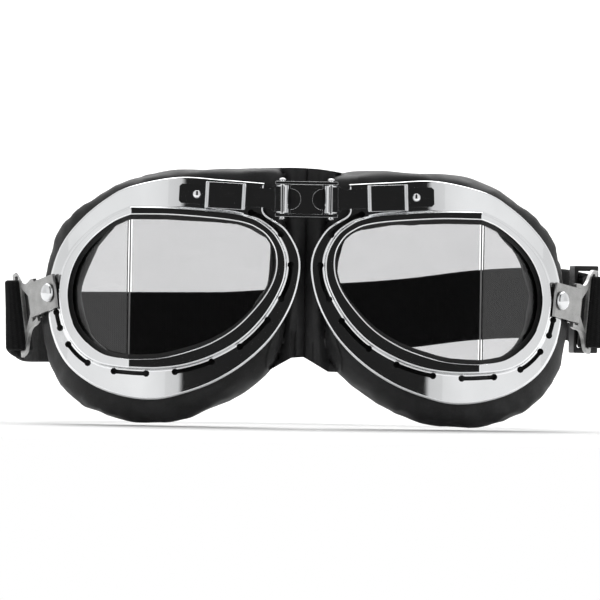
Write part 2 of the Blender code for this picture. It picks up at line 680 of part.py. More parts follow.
def strap_adjuster():
    """A slide on the right-hand strand: a frame round the strap's two layers."""
    route = strap_lines(1)[0]
    near = min(range(len(route)), key=lambda i: abs(route[i].y - ADJUSTER_Y))
    centre = beside(route, near, apart(ADJUSTER_Y) / 2)
    along = (route[near + 1] - route[near - 1]).xy.normalized()
    across = Vector((along.y, -along.x))
    frame = [(-4.2, -15.0), (4.2, -15.0), (4.2, 15.0), (-4.2, 15.0)]
    window = [(-3.0, -13.2), (3.0, -13.2), (3.0, 13.2), (-3.0, 13.2)]

    def place(u, v, w):
        flat = centre.xy + across * u + along * w
        return Vector((flat.x, flat.y, centre.z + v))

    add("strap_adjuster", plate(frame, [window], -4.0, 4.0, place), "buckle_right", "black_plastic")


# ---------------------------------------------------------------- assembly

root = body_empty("nose", (0, 0, LINK_Z))
for s in (-1, 1):
    label = side_name(s)
    strip_empty = body_empty(f"strip_{label}", (s * PIN_X, PIN_Y, LINK_Z), root)
    eye_empty = body_empty(f"eye_{label}", along_strip(s, KEEPER_FROM, 0, 0), strip_empty)
    bracket_empty = body_empty(f"bracket_{label}", rivet_point(s), eye_empty)
    body_empty(f"buckle_{label}", swivelled(s, fold_bar(s)), bracket_empty)
nose_link()
nose_gusset()
for s in (-1, 1):
    slide_strip(s)
    eye(s)
    strap_bracket(s)
    strap_buckle(s)
    strap(s)
strap_adjuster()
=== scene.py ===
"""Looks of the split-lens riding goggles: chrome, leather, webbing, glass, and the studio round them.

Shapes are worked out in millimetres from the nose: the lenses face -Y and the cushions stand on Z = 0.
in_frame() moves a point to the frame's metres. Body names end in _left for -X and _right for +X.
"""

import math

import bmesh
import bpy
from mathutils import Matrix, Vector, noise
from mathutils.bvhtree import BVHTree
from mathutils.geometry import tessellate_polygon


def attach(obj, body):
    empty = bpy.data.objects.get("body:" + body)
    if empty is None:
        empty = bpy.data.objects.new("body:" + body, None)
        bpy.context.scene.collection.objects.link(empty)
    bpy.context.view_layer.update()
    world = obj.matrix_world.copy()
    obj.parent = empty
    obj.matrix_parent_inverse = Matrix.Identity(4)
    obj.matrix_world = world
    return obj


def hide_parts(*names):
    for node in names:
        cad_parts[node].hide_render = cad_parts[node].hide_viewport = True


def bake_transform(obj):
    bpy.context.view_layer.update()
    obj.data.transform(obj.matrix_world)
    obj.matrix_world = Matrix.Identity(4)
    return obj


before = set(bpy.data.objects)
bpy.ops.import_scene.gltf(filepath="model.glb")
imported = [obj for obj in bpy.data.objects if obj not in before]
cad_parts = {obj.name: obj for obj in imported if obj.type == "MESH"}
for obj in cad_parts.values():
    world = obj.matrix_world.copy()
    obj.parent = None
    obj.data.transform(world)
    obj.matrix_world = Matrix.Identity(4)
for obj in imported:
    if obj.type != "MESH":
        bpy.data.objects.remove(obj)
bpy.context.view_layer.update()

MM = 0.001
GAP = 0.35  # between neighbouring pieces
CENTRE = Vector((-0.18, 67.82, 0))  # under the middle of the whole object, strap included

# eye frame
SPLIT_X = 59.0  # the upright line where the front pane meets the side pane
SIDE_SLOPE = 0.78  # the side pane turns back by 38 degrees
RIM_HEIGHT = 3.0
SHEET = 0.9
LIP = 1.7
VENT_HALF, VENT_END_R, VENT_OUT, VENT_FINE = 0.72, 1.15, 1.5, 8
STEPS = 8  # curve pieces between two outline points

# lens stack, as depths from the rim's face
GASKET_Y = (2.5, 3.3)
RETAINER_Y = (5.7, 7.7)

# nose link and slide strips
PIN_X, PIN_Y = 8.15, -3.0
LINK_Z, LINK_HEIGHT = 76.7, 11.9
LINK_HALF_LENGTH, WEB_HALF_LENGTH = 10.5, 5.5
LINK_SHEET = 1.0
LINK_FRONT, LINK_BACK = -5.6, -0.8
CUTOUT_R = 3.5
PIN_R, PIN_HOLE_R, KNUCKLE_R = 0.85, 1.2, 2.1
KNUCKLE_HEIGHT = 9.2
STRIP_RISE = math.radians(2.4)
STRIP_HALF, STRIP_END = 3.25, 34.7
STRIP_Y = (-1.5, -0.6)
STOP_AT = 28.7
KEEPER_FROM = 12.4

# temple: rivet, bracket and buckle
RIVET_X, RIVET_Z = 85.6, 44.0
BRACKET_TURN = math.radians(55)
BRACKET_HALF, BRACKET_SHEET = 5.8, 1.2
BRACKET_IN, FOLD_AT = 3.4, 11.3
FOLD_R = 1.75
RIVET_R, SHANK_R, SHANK_HOLE_R = 3.2, 1.35, 1.75
BUCKLE_TURN = math.radians(65)
BUCKLE_SHEET = 1.2
STRAP_BAR_AT, STRAP_BAR_HALF = 15.3, 1.0
LAYER_OUT, LAYER_JOIN = 2.5, 1.2
ADJUSTER_Y = 72
SWIVEL_REST = {-1: math.radians(13), 1: math.radians(8)}

# strap
STRAP_WIDTH, STRAP_THICK = 24.5, 2.0
STRAP_SAG = {-1: 1.9, 1: 0.0}  # how much lower each half hangs than its bracket
STRAP_FAN = 0.11  # how fast the turn round the bar gets looser towards its lower edge

# cushions
CUSHION_INSET = 1.2  # the skin starts this far inside the cushion's outline
CUSHION_FRONT = 2.1  # and this far behind the flange's front
HELD_DEPTH = 2.5  # the frame holds this much of the cushion's depth
CUSHION_VOXEL, CUSHION_PRESSURE = 3.2, 3.0
SWELL, SWELL_STEPS = 2.0, 20  # how far the stuffing may push the leather out, and in how many steps
NOSE_SIDE_X = 5.0  # the cushions' sides at the nose

# studio, in metres
FLOOR_DROP = 0.0003  # the floor lies this far under the goggles
DISTANCE, WIDTH_SEEN = 3.0, 0.2015  # of the camera, and across the picture
SENSOR = 36  # in millimetres, as the camera's lens is
PANELS = ((0, 0.018), (0.19, 0.018), (0.23, 0.66), (0.6, 0.84), (0.9, 0.8), (1, 0.74))  # place, brightness

# Outlines of one eye, clockwise from the top of the lens split, as (x, z). Points with the same place in each
# list lie side by side on the frame.
FLANGE = [
    (59.5, 80.2), (67.8, 75.8), (76.0, 69.0), (82.4, 60.8), (86.0, 51.0), (87.2, 40.5), (85.4, 29.6),
    (80.0, 19.8), (71.0, 13.0), (60.5, 9.4), (50.0, 8.6), (40.5, 10.7), (30.0, 14.8), (19.8, 21.3),
    (11.2, 29.6), (5.2, 39.3), (2.1, 49.0), (2.0, 58.0), (6.6, 66.6), (13.6, 71.4), (14.3, 74.0),
    (14.2, 82.0), (28.5, 82.9), (43.5, 83.5),
]
RIM = [
    (SPLIT_X, 73.3), (66.0, 70.1), (73.2, 64.6), (79.0, 58.0), (82.2, 50.6), (83.0, 41.5), (80.8, 31.6),
    (75.6, 24.3), (68.4, 20.3), (SPLIT_X, 19.1), (49.5, 19.0), (40.0, 20.3), (30.5, 23.6), (21.5, 28.9),
    (14.4, 36.0), (9.4, 43.9), (6.8, 51.0), (6.9, 58.2), (10.2, 64.8), (15.0, 68.8), (19.0, 70.5),
    (25.0, 71.8), (34.0, 72.6), (46.0, 73.2),
]
OPENING = [
    (SPLIT_X, 70.6), (64.5, 68.3), (71.0, 63.4), (76.2, 57.2), (79.3, 49.9), (80.0, 42.0), (77.9, 33.6),
    (73.0, 27.3), (67.0, 23.5), (SPLIT_X, 22.2), (49.0, 22.6), (40.0, 24.8), (31.5, 28.1), (23.5, 33.2),
    (17.0, 39.8), (12.3, 46.4), (10.1, 52.6), (10.3, 59.0), (13.0, 64.0), (16.8, 66.8), (20.3, 68.2),
    (25.8, 69.2), (34.3, 70.0), (46.4, 70.7),
]
CUSHION = [
    (61.0, 83.0), (70.0, 78.2), (78.6, 70.6), (85.0, 61.0), (88.4, 50.0), (89.6, 38.0), (88.2, 24.0),
    (82.5, 11.8), (71.5, 3.6), (60.0, 0.0), (50.0, 0.0), (40.0, 1.6), (29.0, 6.0), (18.5, 12.6),
    (10.0, 19.6), (5.2, 29.0), (4.9, 42.0), (4.9, 56.0), (4.9, 70.0), (5.0, 79.5), (7.4, 85.8),
    (17.0, 87.0), (30.0, 87.2), (46.0, 86.4),
]
SPLIT_TOP, SPLIT_BOTTOM = 0, 9
FLANGE_CORNERS = (20, 21)
VENTS = [  # where each slot starts and ends, counted in outline points
    (5.4, 5.95), (6.5, 7.45), (8.5, 9.6), (10.6, 11.9), (12.9, 14.2), (15.0, 16.5), (17.9, 20.0),
]

# ---------------------------------------------------------------- lines and solids

def part_way(value, low, high):
    """How far a value has come from low to high, from 0 to 1."""
    return min(max((value - low) / (high - low), 0), 1)


def hermite(p, q, out, into, t):
    """The point at share t of a cubic that leaves p along out and reaches q along into."""
    return (p * (2 * t**3 - 3 * t**2 + 1) + out * (t**3 - 2 * t**2 + t)
            + q * (3 * t**2 - 2 * t**3) + into * (t**3 - t**2))


def curve(points, corners=(), steps=STEPS):
    """A closed smooth curve through the points. It keeps a corner where one is named."""
    count, made = len(points), []
    for i in range(count):
        a, b, c, d = (Vector(points[(i + k) % count]) for k in (-1, 0, 1, 2))
        out = Vector((0, 0)) if i in corners else (c - a) / 2
        into = Vector((0, 0)) if (i + 1) % count in corners else (d - b) / 2
        made += [hermite(b, c, out, into, k / steps) for k in range(steps)]
    return made


def offset(line, distance):
    """A closed clockwise curve moved outward by a distance, or inward if it is negative."""
    count, made = len(line), []
    for i, p in enumerate(line):
        along = (line[(i + 1) % count] - line[i - 1]).normalized()
        made.append(p + Vector((-along.y, along.x)) * distance)
    return made


def mix(a, b, share):
    return [p.lerp(q, share) for p, q in zip(a, b)]


def ramp(value, low, high):
    """The integral of a slope that grows smoothly from 0 at low to 1 at high."""
    t = part_way(value, low, high)
    return (high - low) * (t**3 - t**4 / 2) + max(value - high, 0)


def rim_y(x):
    """Depth of the rim's face: flat in front, turned back beyond the split."""
    return SIDE_SLOPE * max(x - SPLIT_X, 0) - RIM_HEIGHT


def flange_y(x):
    """Depth of the flange's front: it bends smoothly round to the temple, and a little at the nose."""
    temple = 0.72 * max(x - 80, 0) ** 2 / 14.4
    nose = 0.006 * max(16 - x, 0) ** 2
    return SIDE_SLOPE * ramp(x, 28, 88) + temple + nose


def flange_slope(x):
    return (flange_y(x + 0.01) - flange_y(x - 0.01)) / 0.02


def back_of_flange(x, thickness):
    """The depth that is this far behind the flange's front, measured square to the sheet."""
    return flange_y(x) + thickness * math.hypot(1, flange_slope(x))


def face_y(x):
    """Depth of the cushion's face side, which wraps round the head."""
    return 25 + 19 * (max(x - 35, 0) / 53) ** 2 + 3 * (max(35 - x, 0) / 30) ** 2


def level(line, depth, extra=0.0, side=1):
    """Points of an (x, z) line at depth(x) + extra, mirrored for side -1."""
    return [Vector((side * p.x, depth(p.x) + extra, p.y)) for p in line]


def bridge(bm, a, b):
    """Faces between two closed loops of the same length."""
    for i in range(len(a)):
        j = (i + 1) % len(a)
        bm.faces.new((a[i], a[j], b[j], b[i]))


def ring(rows):
    """A closed tube whose cross-section runs through the rows, each of which is a closed loop."""
    bm = bmesh.new()
    loops = [[bm.verts.new(p) for p in row] for row in rows]
    for a, b in zip(loops, loops[1:] + loops[:1]):
        bridge(bm, a, b)
    return bm


def stack(sections):
    """A solid through closed sections with the same number of points, closed by a cap at each end."""
    bm = bmesh.new()
    loops = [[bm.verts.new(p) for p in section] for section in sections]
    for a, b in zip(loops, loops[1:]):
        bridge(bm, a, b)
    for loop in (loops[0], loops[-1]):
        for tri in tessellate_polygon([[v.co for v in loop]]):
            bm.faces.new([loop[k] for k in tri])
    return bm


def plate(outline, holes, low, high, place):
    """A flat plate with holes. place(u, v, w) gives the point for (u, v) in its plane at height w."""
    bm = bmesh.new()
    sheets = [
        [[bm.verts.new(place(u, v, w)) for u, v in loop] for loop in (outline, *holes)] for w in (low, high)
    ]
    flat = [[Vector((u, v, 0)) for u, v in loop] for loop in (outline, *holes)]
    for sheet in sheets:
        verts = [v for loop in sheet for v in loop]
        for tri in tessellate_polygon(flat):
            bm.faces.new([verts[k] for k in tri])
    for a, b in zip(*sheets):
        bridge(bm, a, b)
    return bm


def circle(u, v, radius, count):
    angles = [math.tau * k / count for k in range(count)]
    return [(u + radius * math.cos(angle), v + radius * math.sin(angle)) for angle in angles]


def turned(profile, centre, axis, count):
    """A solid turned about an axis. The profile is (radius, height) from one end on the axis to the other."""
    turn = Vector((0, 0, 1)).rotation_difference(Vector(axis)).to_matrix()
    bm = bmesh.new()
    rings = []
    for radius, height in profile:
        if radius == 0:
            rings.append([bm.verts.new(Vector(centre) + turn @ Vector((0, 0, height)))])
            continue
        edge = [Vector(centre) + turn @ Vector((u, v, height)) for u, v in circle(0, 0, radius, count)]
        rings.append([bm.verts.new(p) for p in edge])
    for a, b in zip(rings, rings[1:]):
        for i in range(count):
            j = (i + 1) % count
            quad = [a[i % len(a)], a[j % len(a)], b[j % len(b)], b[i % len(b)]]
            bm.faces.new(list(dict.fromkeys(quad)))
    return bm


def cylinder(centre, axis, radius, low, high, count):
    return turned([(0, low), (radius, low), (radius, high), (0, high)], centre, axis, count)


def heading(path, i):
    """The way an open path runs at its point i, from the point before to the point after."""
    return path[min(i + 1, len(path) - 1)] - path[max(i - 1, 0)]


def thick_line(path, thickness):
    """The closed outline of a bent strip: the path moved to both sides."""
    left, right = [], []
    for i, p in enumerate(path):
        along = heading(path, i).normalized()
        side = Vector((-along.y, along.x)) * thickness / 2
        left.append(tuple(p + side))
        right.append(tuple(p - side))
    return left + right[::-1]


def rounded(points, steps):
    """Points of an open outline with each inner corner rounded."""
    made = [points[0]]
    for corner in zip(points, points[1:], points[2:]):
        a, b, c = (Vector(p) for p in corner)
        reach = min((a - b).length, (c - b).length) * 0.45
        first, last = b + (a - b).normalized() * reach, b + (c - b).normalized() * reach
        for k in range(steps + 1):
            t = k / steps
            made.append(tuple(first * (1 - t) ** 2 + b * 2 * t * (1 - t) + last * t**2))
    return made + [points[-1]]


def dog_bone(path):
    """The outline of a narrow slot along the path with a round hole at each end."""
    outline = []
    neck = math.asin(VENT_HALF / VENT_END_R)
    steps = 7
    for line in (path, path[::-1]):
        along = math.atan2(line[1].y - line[0].y, line[1].x - line[0].x)
        for step in range(steps + 1):
            angle = along + neck + (math.tau - 2 * neck) * step / steps
            end = line[0] + Vector((math.cos(angle), math.sin(angle))) * VENT_END_R
            outline.append(tuple(end))
        side = Vector((math.sin(along), -math.cos(along))) * VENT_HALF
        outline += [tuple(p + side) for p in line[1:-1]]
    return outline


def side_name(side):
    return "right" if side > 0 else "left"


flange_line = curve(FLANGE, FLANGE_CORNERS)
rim_line = curve(RIM, (SPLIT_TOP, SPLIT_BOTTOM))
opening_line = curve(OPENING, (SPLIT_TOP, SPLIT_BOTTOM))
cushion_line = [Vector((p.x, max(p.y, 0))) for p in curve(CUSHION)]


# ---------------------------------------------------------------- places on the model

def along_strip(side, at, up, depth):
    """A point on the slide strip's line, which leaves the pin and rises a little towards the temple."""
    x = PIN_X + at * math.cos(STRIP_RISE) - up * math.sin(STRIP_RISE)
    z = LINK_Z + at * math.sin(STRIP_RISE) + up * math.cos(STRIP_RISE)
    return Vector((side * x, depth, z))


def rivet_axis(side):
    return Vector((side * math.sin(BRACKET_TURN), -math.cos(BRACKET_TURN), 0))


def rivet_point(side):
    """The middle of the rivet on the flange's front."""
    return Vector((side * RIVET_X, flange_y(RIVET_X), RIVET_Z))


def swivelled(side, point):
    """A point of the bracket and buckle, turned about the rivet to where the strap pulls them."""
    turn = Matrix.Rotation(SWIVEL_REST[side] * -side, 3, rivet_axis(side))
    centre = rivet_point(side)
    return centre + turn @ (point - centre)


def fold_bar(side):
    """The middle of the bar that the bracket's outer end is folded round, before the swivel."""
    lift = GAP + BRACKET_SHEET / 2
    along = Vector((side * math.cos(BRACKET_TURN), math.sin(BRACKET_TURN), 0))
    return rivet_point(side) + along * FOLD_AT + rivet_axis(side) * (lift - FOLD_R)


def on_buckle(side, reach, up, lift=0.0):
    """A point of the buckle's plate: reach from the fold bar, up along it, lift off its outer face."""
    along = Vector((side * math.cos(BUCKLE_TURN), math.sin(BUCKLE_TURN), 0))
    out = Vector((side * math.sin(BUCKLE_TURN), -math.cos(BUCKLE_TURN), 0))
    return swivelled(side, fold_bar(side) + along * reach + out * lift + Vector((0, 0, up)))


# The middle of the strap's outer layer behind each buckle, as (x, y, z), to the half's end at the back.
STRAP_ROUTE = {
    -1: [(99.4, 57, 35.6), (96.2, 75, 34.4), (89.5, 95, 34.2), (77.0, 115, 34.3), (58.0, 129.5, 34.5),
         (37.0, 136.4, 34.8), (18.0, 137.9, 35.2), (-22.0, 138.0, 36.2)],
    1: [(99.4, 57, 40.2), (96.2, 75, 41.4), (89.5, 95, 42.8), (77.0, 115, 43.2), (58.0, 129.5, 41.9),
        (37.0, 136.4, 39.0), (18.0, 137.9, 37.2), (-10.0, 138.0, 35.6)],
}
LAYER = {-1: 2.2, 1: -2.2}  # the two halves pass each other at the back, one behind the other
INNER_END = {-1: 80.0, 1: 84.0}  # the depth at which each half's inner layer ends


def smooth_route(points, steps=12):
    """A smooth open line through the points."""
    made, last = [], len(points) - 1
    for i in range(last):
        a, b, c, d = (Vector(points[min(max(i + k, 0), last)]) for k in (-1, 0, 1, 2))
        made += [hermite(b, c, (c - a) / 2, (d - b) / 2, k / steps) for k in range(steps)]
    return made + [Vector(points[-1])]


def apart(y):
    """Distance between the strap's two layers: wide at the bar, close together behind it."""
    return 2 * (LAYER_OUT + (LAYER_JOIN - LAYER_OUT) * part_way(y, 50, 64))


def strap_lines(side):
    """The outer layer's line from the bar back, the bar's middle, and its upright direction, for x > 0."""
    middle = on_buckle(side, STRAP_BAR_AT, 0)
    up = on_buckle(side, STRAP_BAR_AT, 1) - middle
    middle.x, up.x = side * middle.x, side * up.x
    first = Vector(STRAP_ROUTE[side][0])
    along = (first - middle).xy.normalized()
    start = middle + Vector((along.y, -along.x, 0)) * LAYER_OUT
    outer = smooth_route([start, *STRAP_ROUTE[side]])
    for p in outer:
        p.y += LAYER[side] * part_way(p.x, 90, 40)
    return outer, middle, up


def beside(line, i, distance):
    """The point of a line moved square to it, towards the head."""
    step = heading(line, i).xy.normalized()
    return line[i] + Vector((-step.y, step.x, 0)) * distance


# ---------------------------------------------------------------- materials

def grey(value):
    return (value, value, value)


class Finish:
    """A material whose detail comes from nodes on the object's own coordinates, in metres."""

    def __init__(self, name, colour, metallic, roughness, **sockets):
        self.material = bpy.data.materials.new(name)
        self.material.use_nodes = True
        self.tree = self.material.node_tree
        self.shader = self.tree.nodes["Principled BSDF"]
        self.set(self.shader, {"Base Color": (*colour, 1), "Metallic": metallic, "Roughness": roughness})
        self.set(self.shader, sockets)
        self.coords = self.tree.nodes.new("ShaderNodeTexCoord")
        self.height = None

    def set(self, node, values):
        for key, value in values.items():
            node.inputs[key].default_value = value

    def link(self, source, target):
        self.tree.links.new(source, target)

    def stretched(self, scale):
        """Coordinates multiplied by a scale for each axis."""
        node = self.tree.nodes.new("ShaderNodeMapping")
        node.inputs["Scale"].default_value = scale
        self.link(self.coords.outputs["Object"], node.inputs["Vector"])
        return node.outputs["Vector"]

    def noise(self, scale, detail=2.0, roughness=0.5, vector=None, distortion=0.0):
        node = self.tree.nodes.new("ShaderNodeTexNoise")
        self.set(node, {"Scale": scale, "Detail": detail, "Roughness": roughness, "Distortion": distortion})
        self.link(vector or self.coords.outputs["Object"], node.inputs["Vector"])
        return node.outputs["Fac"]

    def cells(self, scale):
        """Distance from the borders of a mosaic of cells."""
        node = self.tree.nodes.new("ShaderNodeTexVoronoi")
        node.feature = "DISTANCE_TO_EDGE"
        node.inputs["Scale"].default_value = scale
        self.link(self.coords.outputs["Object"], node.inputs["Vector"])
        return node.outputs["Distance"]

    def between(self, fac, low, high, to_low=0.0, to_high=1.0):
        node = self.tree.nodes.new("ShaderNodeMapRange")
        self.set(node, {"From Min": low, "From Max": high, "To Min": to_low, "To Max": to_high})
        self.link(fac, node.inputs["Value"])
        return node.outputs["Result"]

    def maths(self, operation, a, b):
        node = self.tree.nodes.new("ShaderNodeMath")
        node.operation = operation
        for socket, value in zip(node.inputs, (a, b)):
            if isinstance(value, (int, float)):
                socket.default_value = value
            else:
                self.link(value, socket)
        return node.outputs["Value"]

    def colours(self, fac, *stops):
        """Base colour along a ramp of (place, colour) stops."""
        node = self.tree.nodes.new("ShaderNodeValToRGB")
        ramp_of = node.color_ramp
        while len(ramp_of.elements) < len(stops):
            ramp_of.elements.new(0.5)
        for element, (place, colour) in zip(ramp_of.elements, stops):
            element.position = place
            element.color = (*colour, 1)
        self.link(fac, node.inputs["Fac"])
        self.link(node.outputs["Color"], self.shader.inputs["Base Color"])

    def rough(self, fac, low, high):
        self.link(self.between(fac, 0.3, 0.7, low, high), self.shader.inputs["Roughness"])

    def bump(self, fac, depth, strength=1.0):
        """Relief of that depth in millimetres. A later call lies on top of the earlier ones."""
        node = self.tree.nodes.new("ShaderNodeBump")
        self.set(node, {"Strength": strength, "Distance": depth * MM})
        self.link(fac, node.inputs["Height"])
        if self.height:
            self.link(self.height, node.inputs["Normal"])
        self.height = node.outputs["Normal"]
        self.link(self.height, self.shader.inputs["Normal"])


def chrome(name, colour, rough):
    """Polished plating with faint handling haze, fine hairlines and a slight waviness of the pressing."""
    made = Finish(name, colour, 1.0, rough)
    haze = made.noise(160, 6, 0.6, distortion=0.4)
    made.rough(haze, rough * 0.6, rough * 1.9)
    made.colours(made.noise(60, 3), (0.3, [c * 0.93 for c in colour]), (0.7, colour))
    made.bump(made.noise(45, 1), 0.02, 0.2)
    hairline = made.noise(1.0, 3, 0.7, made.stretched((5200, 5200, 260)))
    made.bump(made.between(hairline, 0.62, 0.8), 0.004, 0.25)
    return made.material


def satin_steel():
    made = Finish("satin_steel", (0.42, 0.42, 0.41), 1.0, 0.3, Anisotropic=0.4)
    brush = made.noise(1.0, 4, 0.7, made.stretched((400, 400, 9000)))
    made.rough(brush, 0.24, 0.42)
    made.colours(made.noise(220, 5, 0.65), (0.25, (0.34, 0.34, 0.335)), (0.6, (0.46, 0.46, 0.455)))
    made.bump(brush, 0.01, 0.5)
    made.bump(made.between(made.noise(900, 3), 0.66, 0.78, 0, -1), 0.03, 0.4)
    return made.material


def leather():
    """Soft black hide: pebbled grain with creases between, coloured a little lighter on the pebbles' tops and
    darker in the creases between them, which is painted shade.
    """
    made = Finish("leather", grey(0.02), 0.0, 0.5, **{
        "Specular IOR Level": 0.26, "Coat Weight": 0.02, "Coat Roughness": 0.35, "Sheen Weight": 0.01,
        "Sheen Roughness": 0.5,
    })
    pebbles = made.between(made.cells(1100), 0.0, 0.22)
    fine = made.between(made.cells(2600), 0.0, 0.25)
    grain = made.maths("ADD", made.maths("MULTIPLY", pebbles, 0.7), made.maths("MULTIPLY", fine, 0.3))
    made.rough(made.maths("ADD", made.noise(70, 4), made.maths("MULTIPLY", grain, 0.1)), 0.44, 0.6)
    # Blotchy patches of tone, times the grain so that the creases between the pebbles are darker: painted
    # shade.
    patches_and_crease_shade = made.maths("MULTIPLY", made.noise(55, 5, 0.6), made.between(grain, 0, 1, 0.8, 1.05))
    made.colours(patches_and_crease_shade, (0.3, grey(0.010)), (0.62, (0.026, 0.026, 0.027)))
    made.bump(made.noise(260, 3, 0.6), 0.25, 0.22)
    made.bump(grain, 0.05, 0.4)
    return made.material


def webbing():
    """Elastic webbing: fine ribs across the strap and a tight weave along it. UVs are in metres."""
    made = Finish("webbing", grey(0.006), 0.0, 0.85, **{
        "Specular IOR Level": 0.12, "Sheen Weight": 0.03, "Sheen Roughness": 0.45,
    })
    split = made.tree.nodes.new("ShaderNodeSeparateXYZ")
    made.link(made.coords.outputs["UV"], split.inputs["Vector"])
    along, across = split.outputs["X"], split.outputs["Y"]

    def waves(coordinate, pitch):
        return made.maths("SINE", made.maths("MULTIPLY", coordinate, math.tau / (pitch * MM)), 0)

    ribs = made.maths("ABSOLUTE", waves(along, 1.9), 0)
    yarns = made.maths("MULTIPLY", waves(across, 0.75), waves(along, 0.95))
    weave = made.maths("ADD", made.maths("MULTIPLY", ribs, 0.65), made.maths("MULTIPLY", yarns, 0.35))
    fuzz = made.noise(3200, 3, 0.7)
    lit = made.maths("MULTIPLY", made.maths("ADD", weave, 0.6), fuzz)
    made.colours(lit, (0.15, grey(0.002)), (0.9, (0.014, 0.014, 0.0145)))
    made.rough(made.noise(500, 2), 0.75, 0.95)
    made.bump(weave, 0.12, 0.6)
    made.bump(fuzz, 0.05, 0.4)
    return made.material


def moulded(name, colour, rough, grain):
    """Moulded plastic or rubber with a fine spark-eroded grain."""
    made = Finish(name, colour, 0.0, rough, **{"Specular IOR Level": 0.4})
    made.rough(made.noise(120, 4), rough * 0.85, rough * 1.15)
    made.colours(made.noise(90, 3), (0.3, [c * 0.7 for c in colour]), (0.7, [c * 1.25 for c in colour]))
    made.bump(made.noise(grain, 2), 0.02, 0.5)
    return made.material


def glass():
    """Clear pane with a light grey tint, faint smears and a few dust specks."""
    made = Finish("lens", (0.48, 0.48, 0.485), 0.0, 0.015, **{"Transmission Weight": 1.0, "IOR": 1.5})
    smears = made.noise(1.0, 5, 0.6, made.stretched((70, 70, 160)), 1.2)
    dust = made.between(made.noise(2200, 1), 0.8, 0.86)
    haze = made.between(smears, 0.45, 0.8, 0.0, 0.035)
    rough = made.maths("ADD", haze, made.maths("MULTIPLY", dust, 0.25))
    made.link(rough, made.shader.inputs["Roughness"])
    made.colours(smears, (0.3, (0.46, 0.46, 0.465)), (0.75, (0.435, 0.435, 0.44)))
    return made.material


def thread():
    made = Finish("thread", grey(0.03), 0.0, 0.6, **{"Sheen Weight": 0.2})
    twist = made.noise(1.0, 1, 0.5, made.stretched((3000, 3000, 3000)))
    made.colours(twist, (0.3, grey(0.012)), (0.7, grey(0.05)))
    made.bump(twist, 0.05, 0.6)
    return made.material


CHROME = chrome("chrome", (0.88, 0.89, 0.90), 0.035)
HARDWARE = chrome("chrome_hardware", (0.80, 0.81, 0.82), 0.05)
STEEL = satin_steel()
LEATHER = leather()
WEBBING = webbing()
RUBBER = moulded("rubber", grey(0.010), 0.5, 1800)
SPACER = moulded("spacer", grey(0.16), 0.6, 1800)
PLASTIC = moulded("black_plastic", grey(0.014), 0.4, 2500)
GLASS = glass()
THREAD = thread()


# ---------------------------------------------------------------- making pieces

def in_frame(p):
    """A point in millimetres from the nose, in the frame's metres."""
    return (Vector(p) - CENTRE) * MM


def from_nose(p):
    """A point in the frame's metres, in millimetres from the nose."""
    return p / MM + CENTRE


def add_object(name, data):
    obj = bpy.data.objects.new(name, data)
    bpy.context.scene.collection.objects.link(obj)
    return obj


def piece(name, bm, body, finish, replaces=(), smooth=35):
    """Turns a bmesh in millimetres into a piece. It rides on the body, if one is named."""
    bmesh.ops.recalc_face_normals(bm, faces=bm.faces)
    bmesh.ops.transform(bm, matrix=Matrix.Scale(MM, 4) @ Matrix.Translation(-CENTRE), verts=bm.verts)
    mesh = bpy.data.meshes.new(name)
    bm.to_mesh(mesh)
    bm.free()
    mesh.shade_smooth()
    mesh.set_sharp_from_angle(angle=math.radians(smooth))
    mesh.materials.append(finish)
    obj = add_object(name, mesh)
    if body:
        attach(obj, body)
    if replaces:
        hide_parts(*replaces)
    return obj


def side_piece(label, side, bm, body, finish, slot, *nodes, smooth=35):
    """A piece of one side, whose name, body and replaced nodes end in that side's name."""
    end = side_name(side)
    replaces = [f"{node}_{end}" for node in nodes]
    return piece(f"{label}_{end}", bm, f"{body}_{end}", finish, replaces, smooth)


def apply_modifiers(obj):
    """Keeps what the modifiers make, and drops the modifiers and their cutters."""
    bpy.context.view_layer.update()
    made = bpy.data.meshes.new_from_object(obj.evaluated_get(bpy.context.evaluated_depsgraph_get()))
    tools = [step.object for step in obj.modifiers if step.type == "BOOLEAN"]
    obj.modifiers.clear()
    obj.data = made
    for tool in tools:
        bpy.data.objects.remove(tool)


def cut(obj, bm, operation="DIFFERENCE"):
    """Takes a shape away from a piece, or joins it on with UNION."""
    tool = piece(f"{obj.name}_tool", bm, "", PLASTIC)
    step = obj.modifiers.new(tool.name, "BOOLEAN")
    step.operation = operation
    step.object = tool


def edge(obj, width, segments=3):
    """Rounds every edge that is sharper than 40 degrees."""
    step = obj.modifiers.new("edge", "BEVEL")
    step.width = width * MM
    step.segments = segments
    step.limit_method = "ANGLE"
    step.angle_limit = math.radians(40)
    step.harden_normals = True


def tube(path, radius, sides):
    """A round cord along a closed path."""
    rows = []
    for i, p in enumerate(path):
        along = (path[(i + 1) % len(path)] - path[i - 1]).normalized()
        side = along.cross(Vector((0, 1, 0.01))).normalized()
        up = side.cross(along)
        turns = [math.tau * k / sides for k in range(sides)]
        rows.append([p + (side * math.cos(turn) + up * math.sin(turn)) * radius for turn in turns])
    return ring(rows)


def stitches(path, length, space, radius):
    """Short threads laid end to end along a path of (point, normal), each dipping in at both ends."""
    bm = bmesh.new()
    travelled, run = 0.0, []
    for (p, normal), (q, _) in zip(path, path[1:]):
        if travelled % (length + space) < length:
            run.append((p, normal))
        else:
            if len(run) > 2:
                add_stitch(bm, run, radius)
            run = []
        travelled += (q - p).length
    return bm


def add_stitch(bm, run, radius):
    """One thread over a run of (point, normal), thickest and highest in its middle."""
    path, loops = [p for p, _ in run], []
    for i, (p, normal) in enumerate(run):
        arch = math.sin(math.pi * i / (len(run) - 1))
        side = heading(path, i).normalized().cross(normal).normalized()
        centre = p + normal * (radius * (1.6 * arch - 0.9))
        turns = circle(0, 0, radius * (0.55 + 0.45 * arch), 6)
        loops.append([bm.verts.new(centre + side * u + normal * v) for u, v in turns])
    for a, b in zip(loops, loops[1:]):
        bridge(bm, a, b)
    bm.faces.new(loops[0])
    bm.faces.new(loops[-1])


# ---------------------------------------------------------------- eye frames

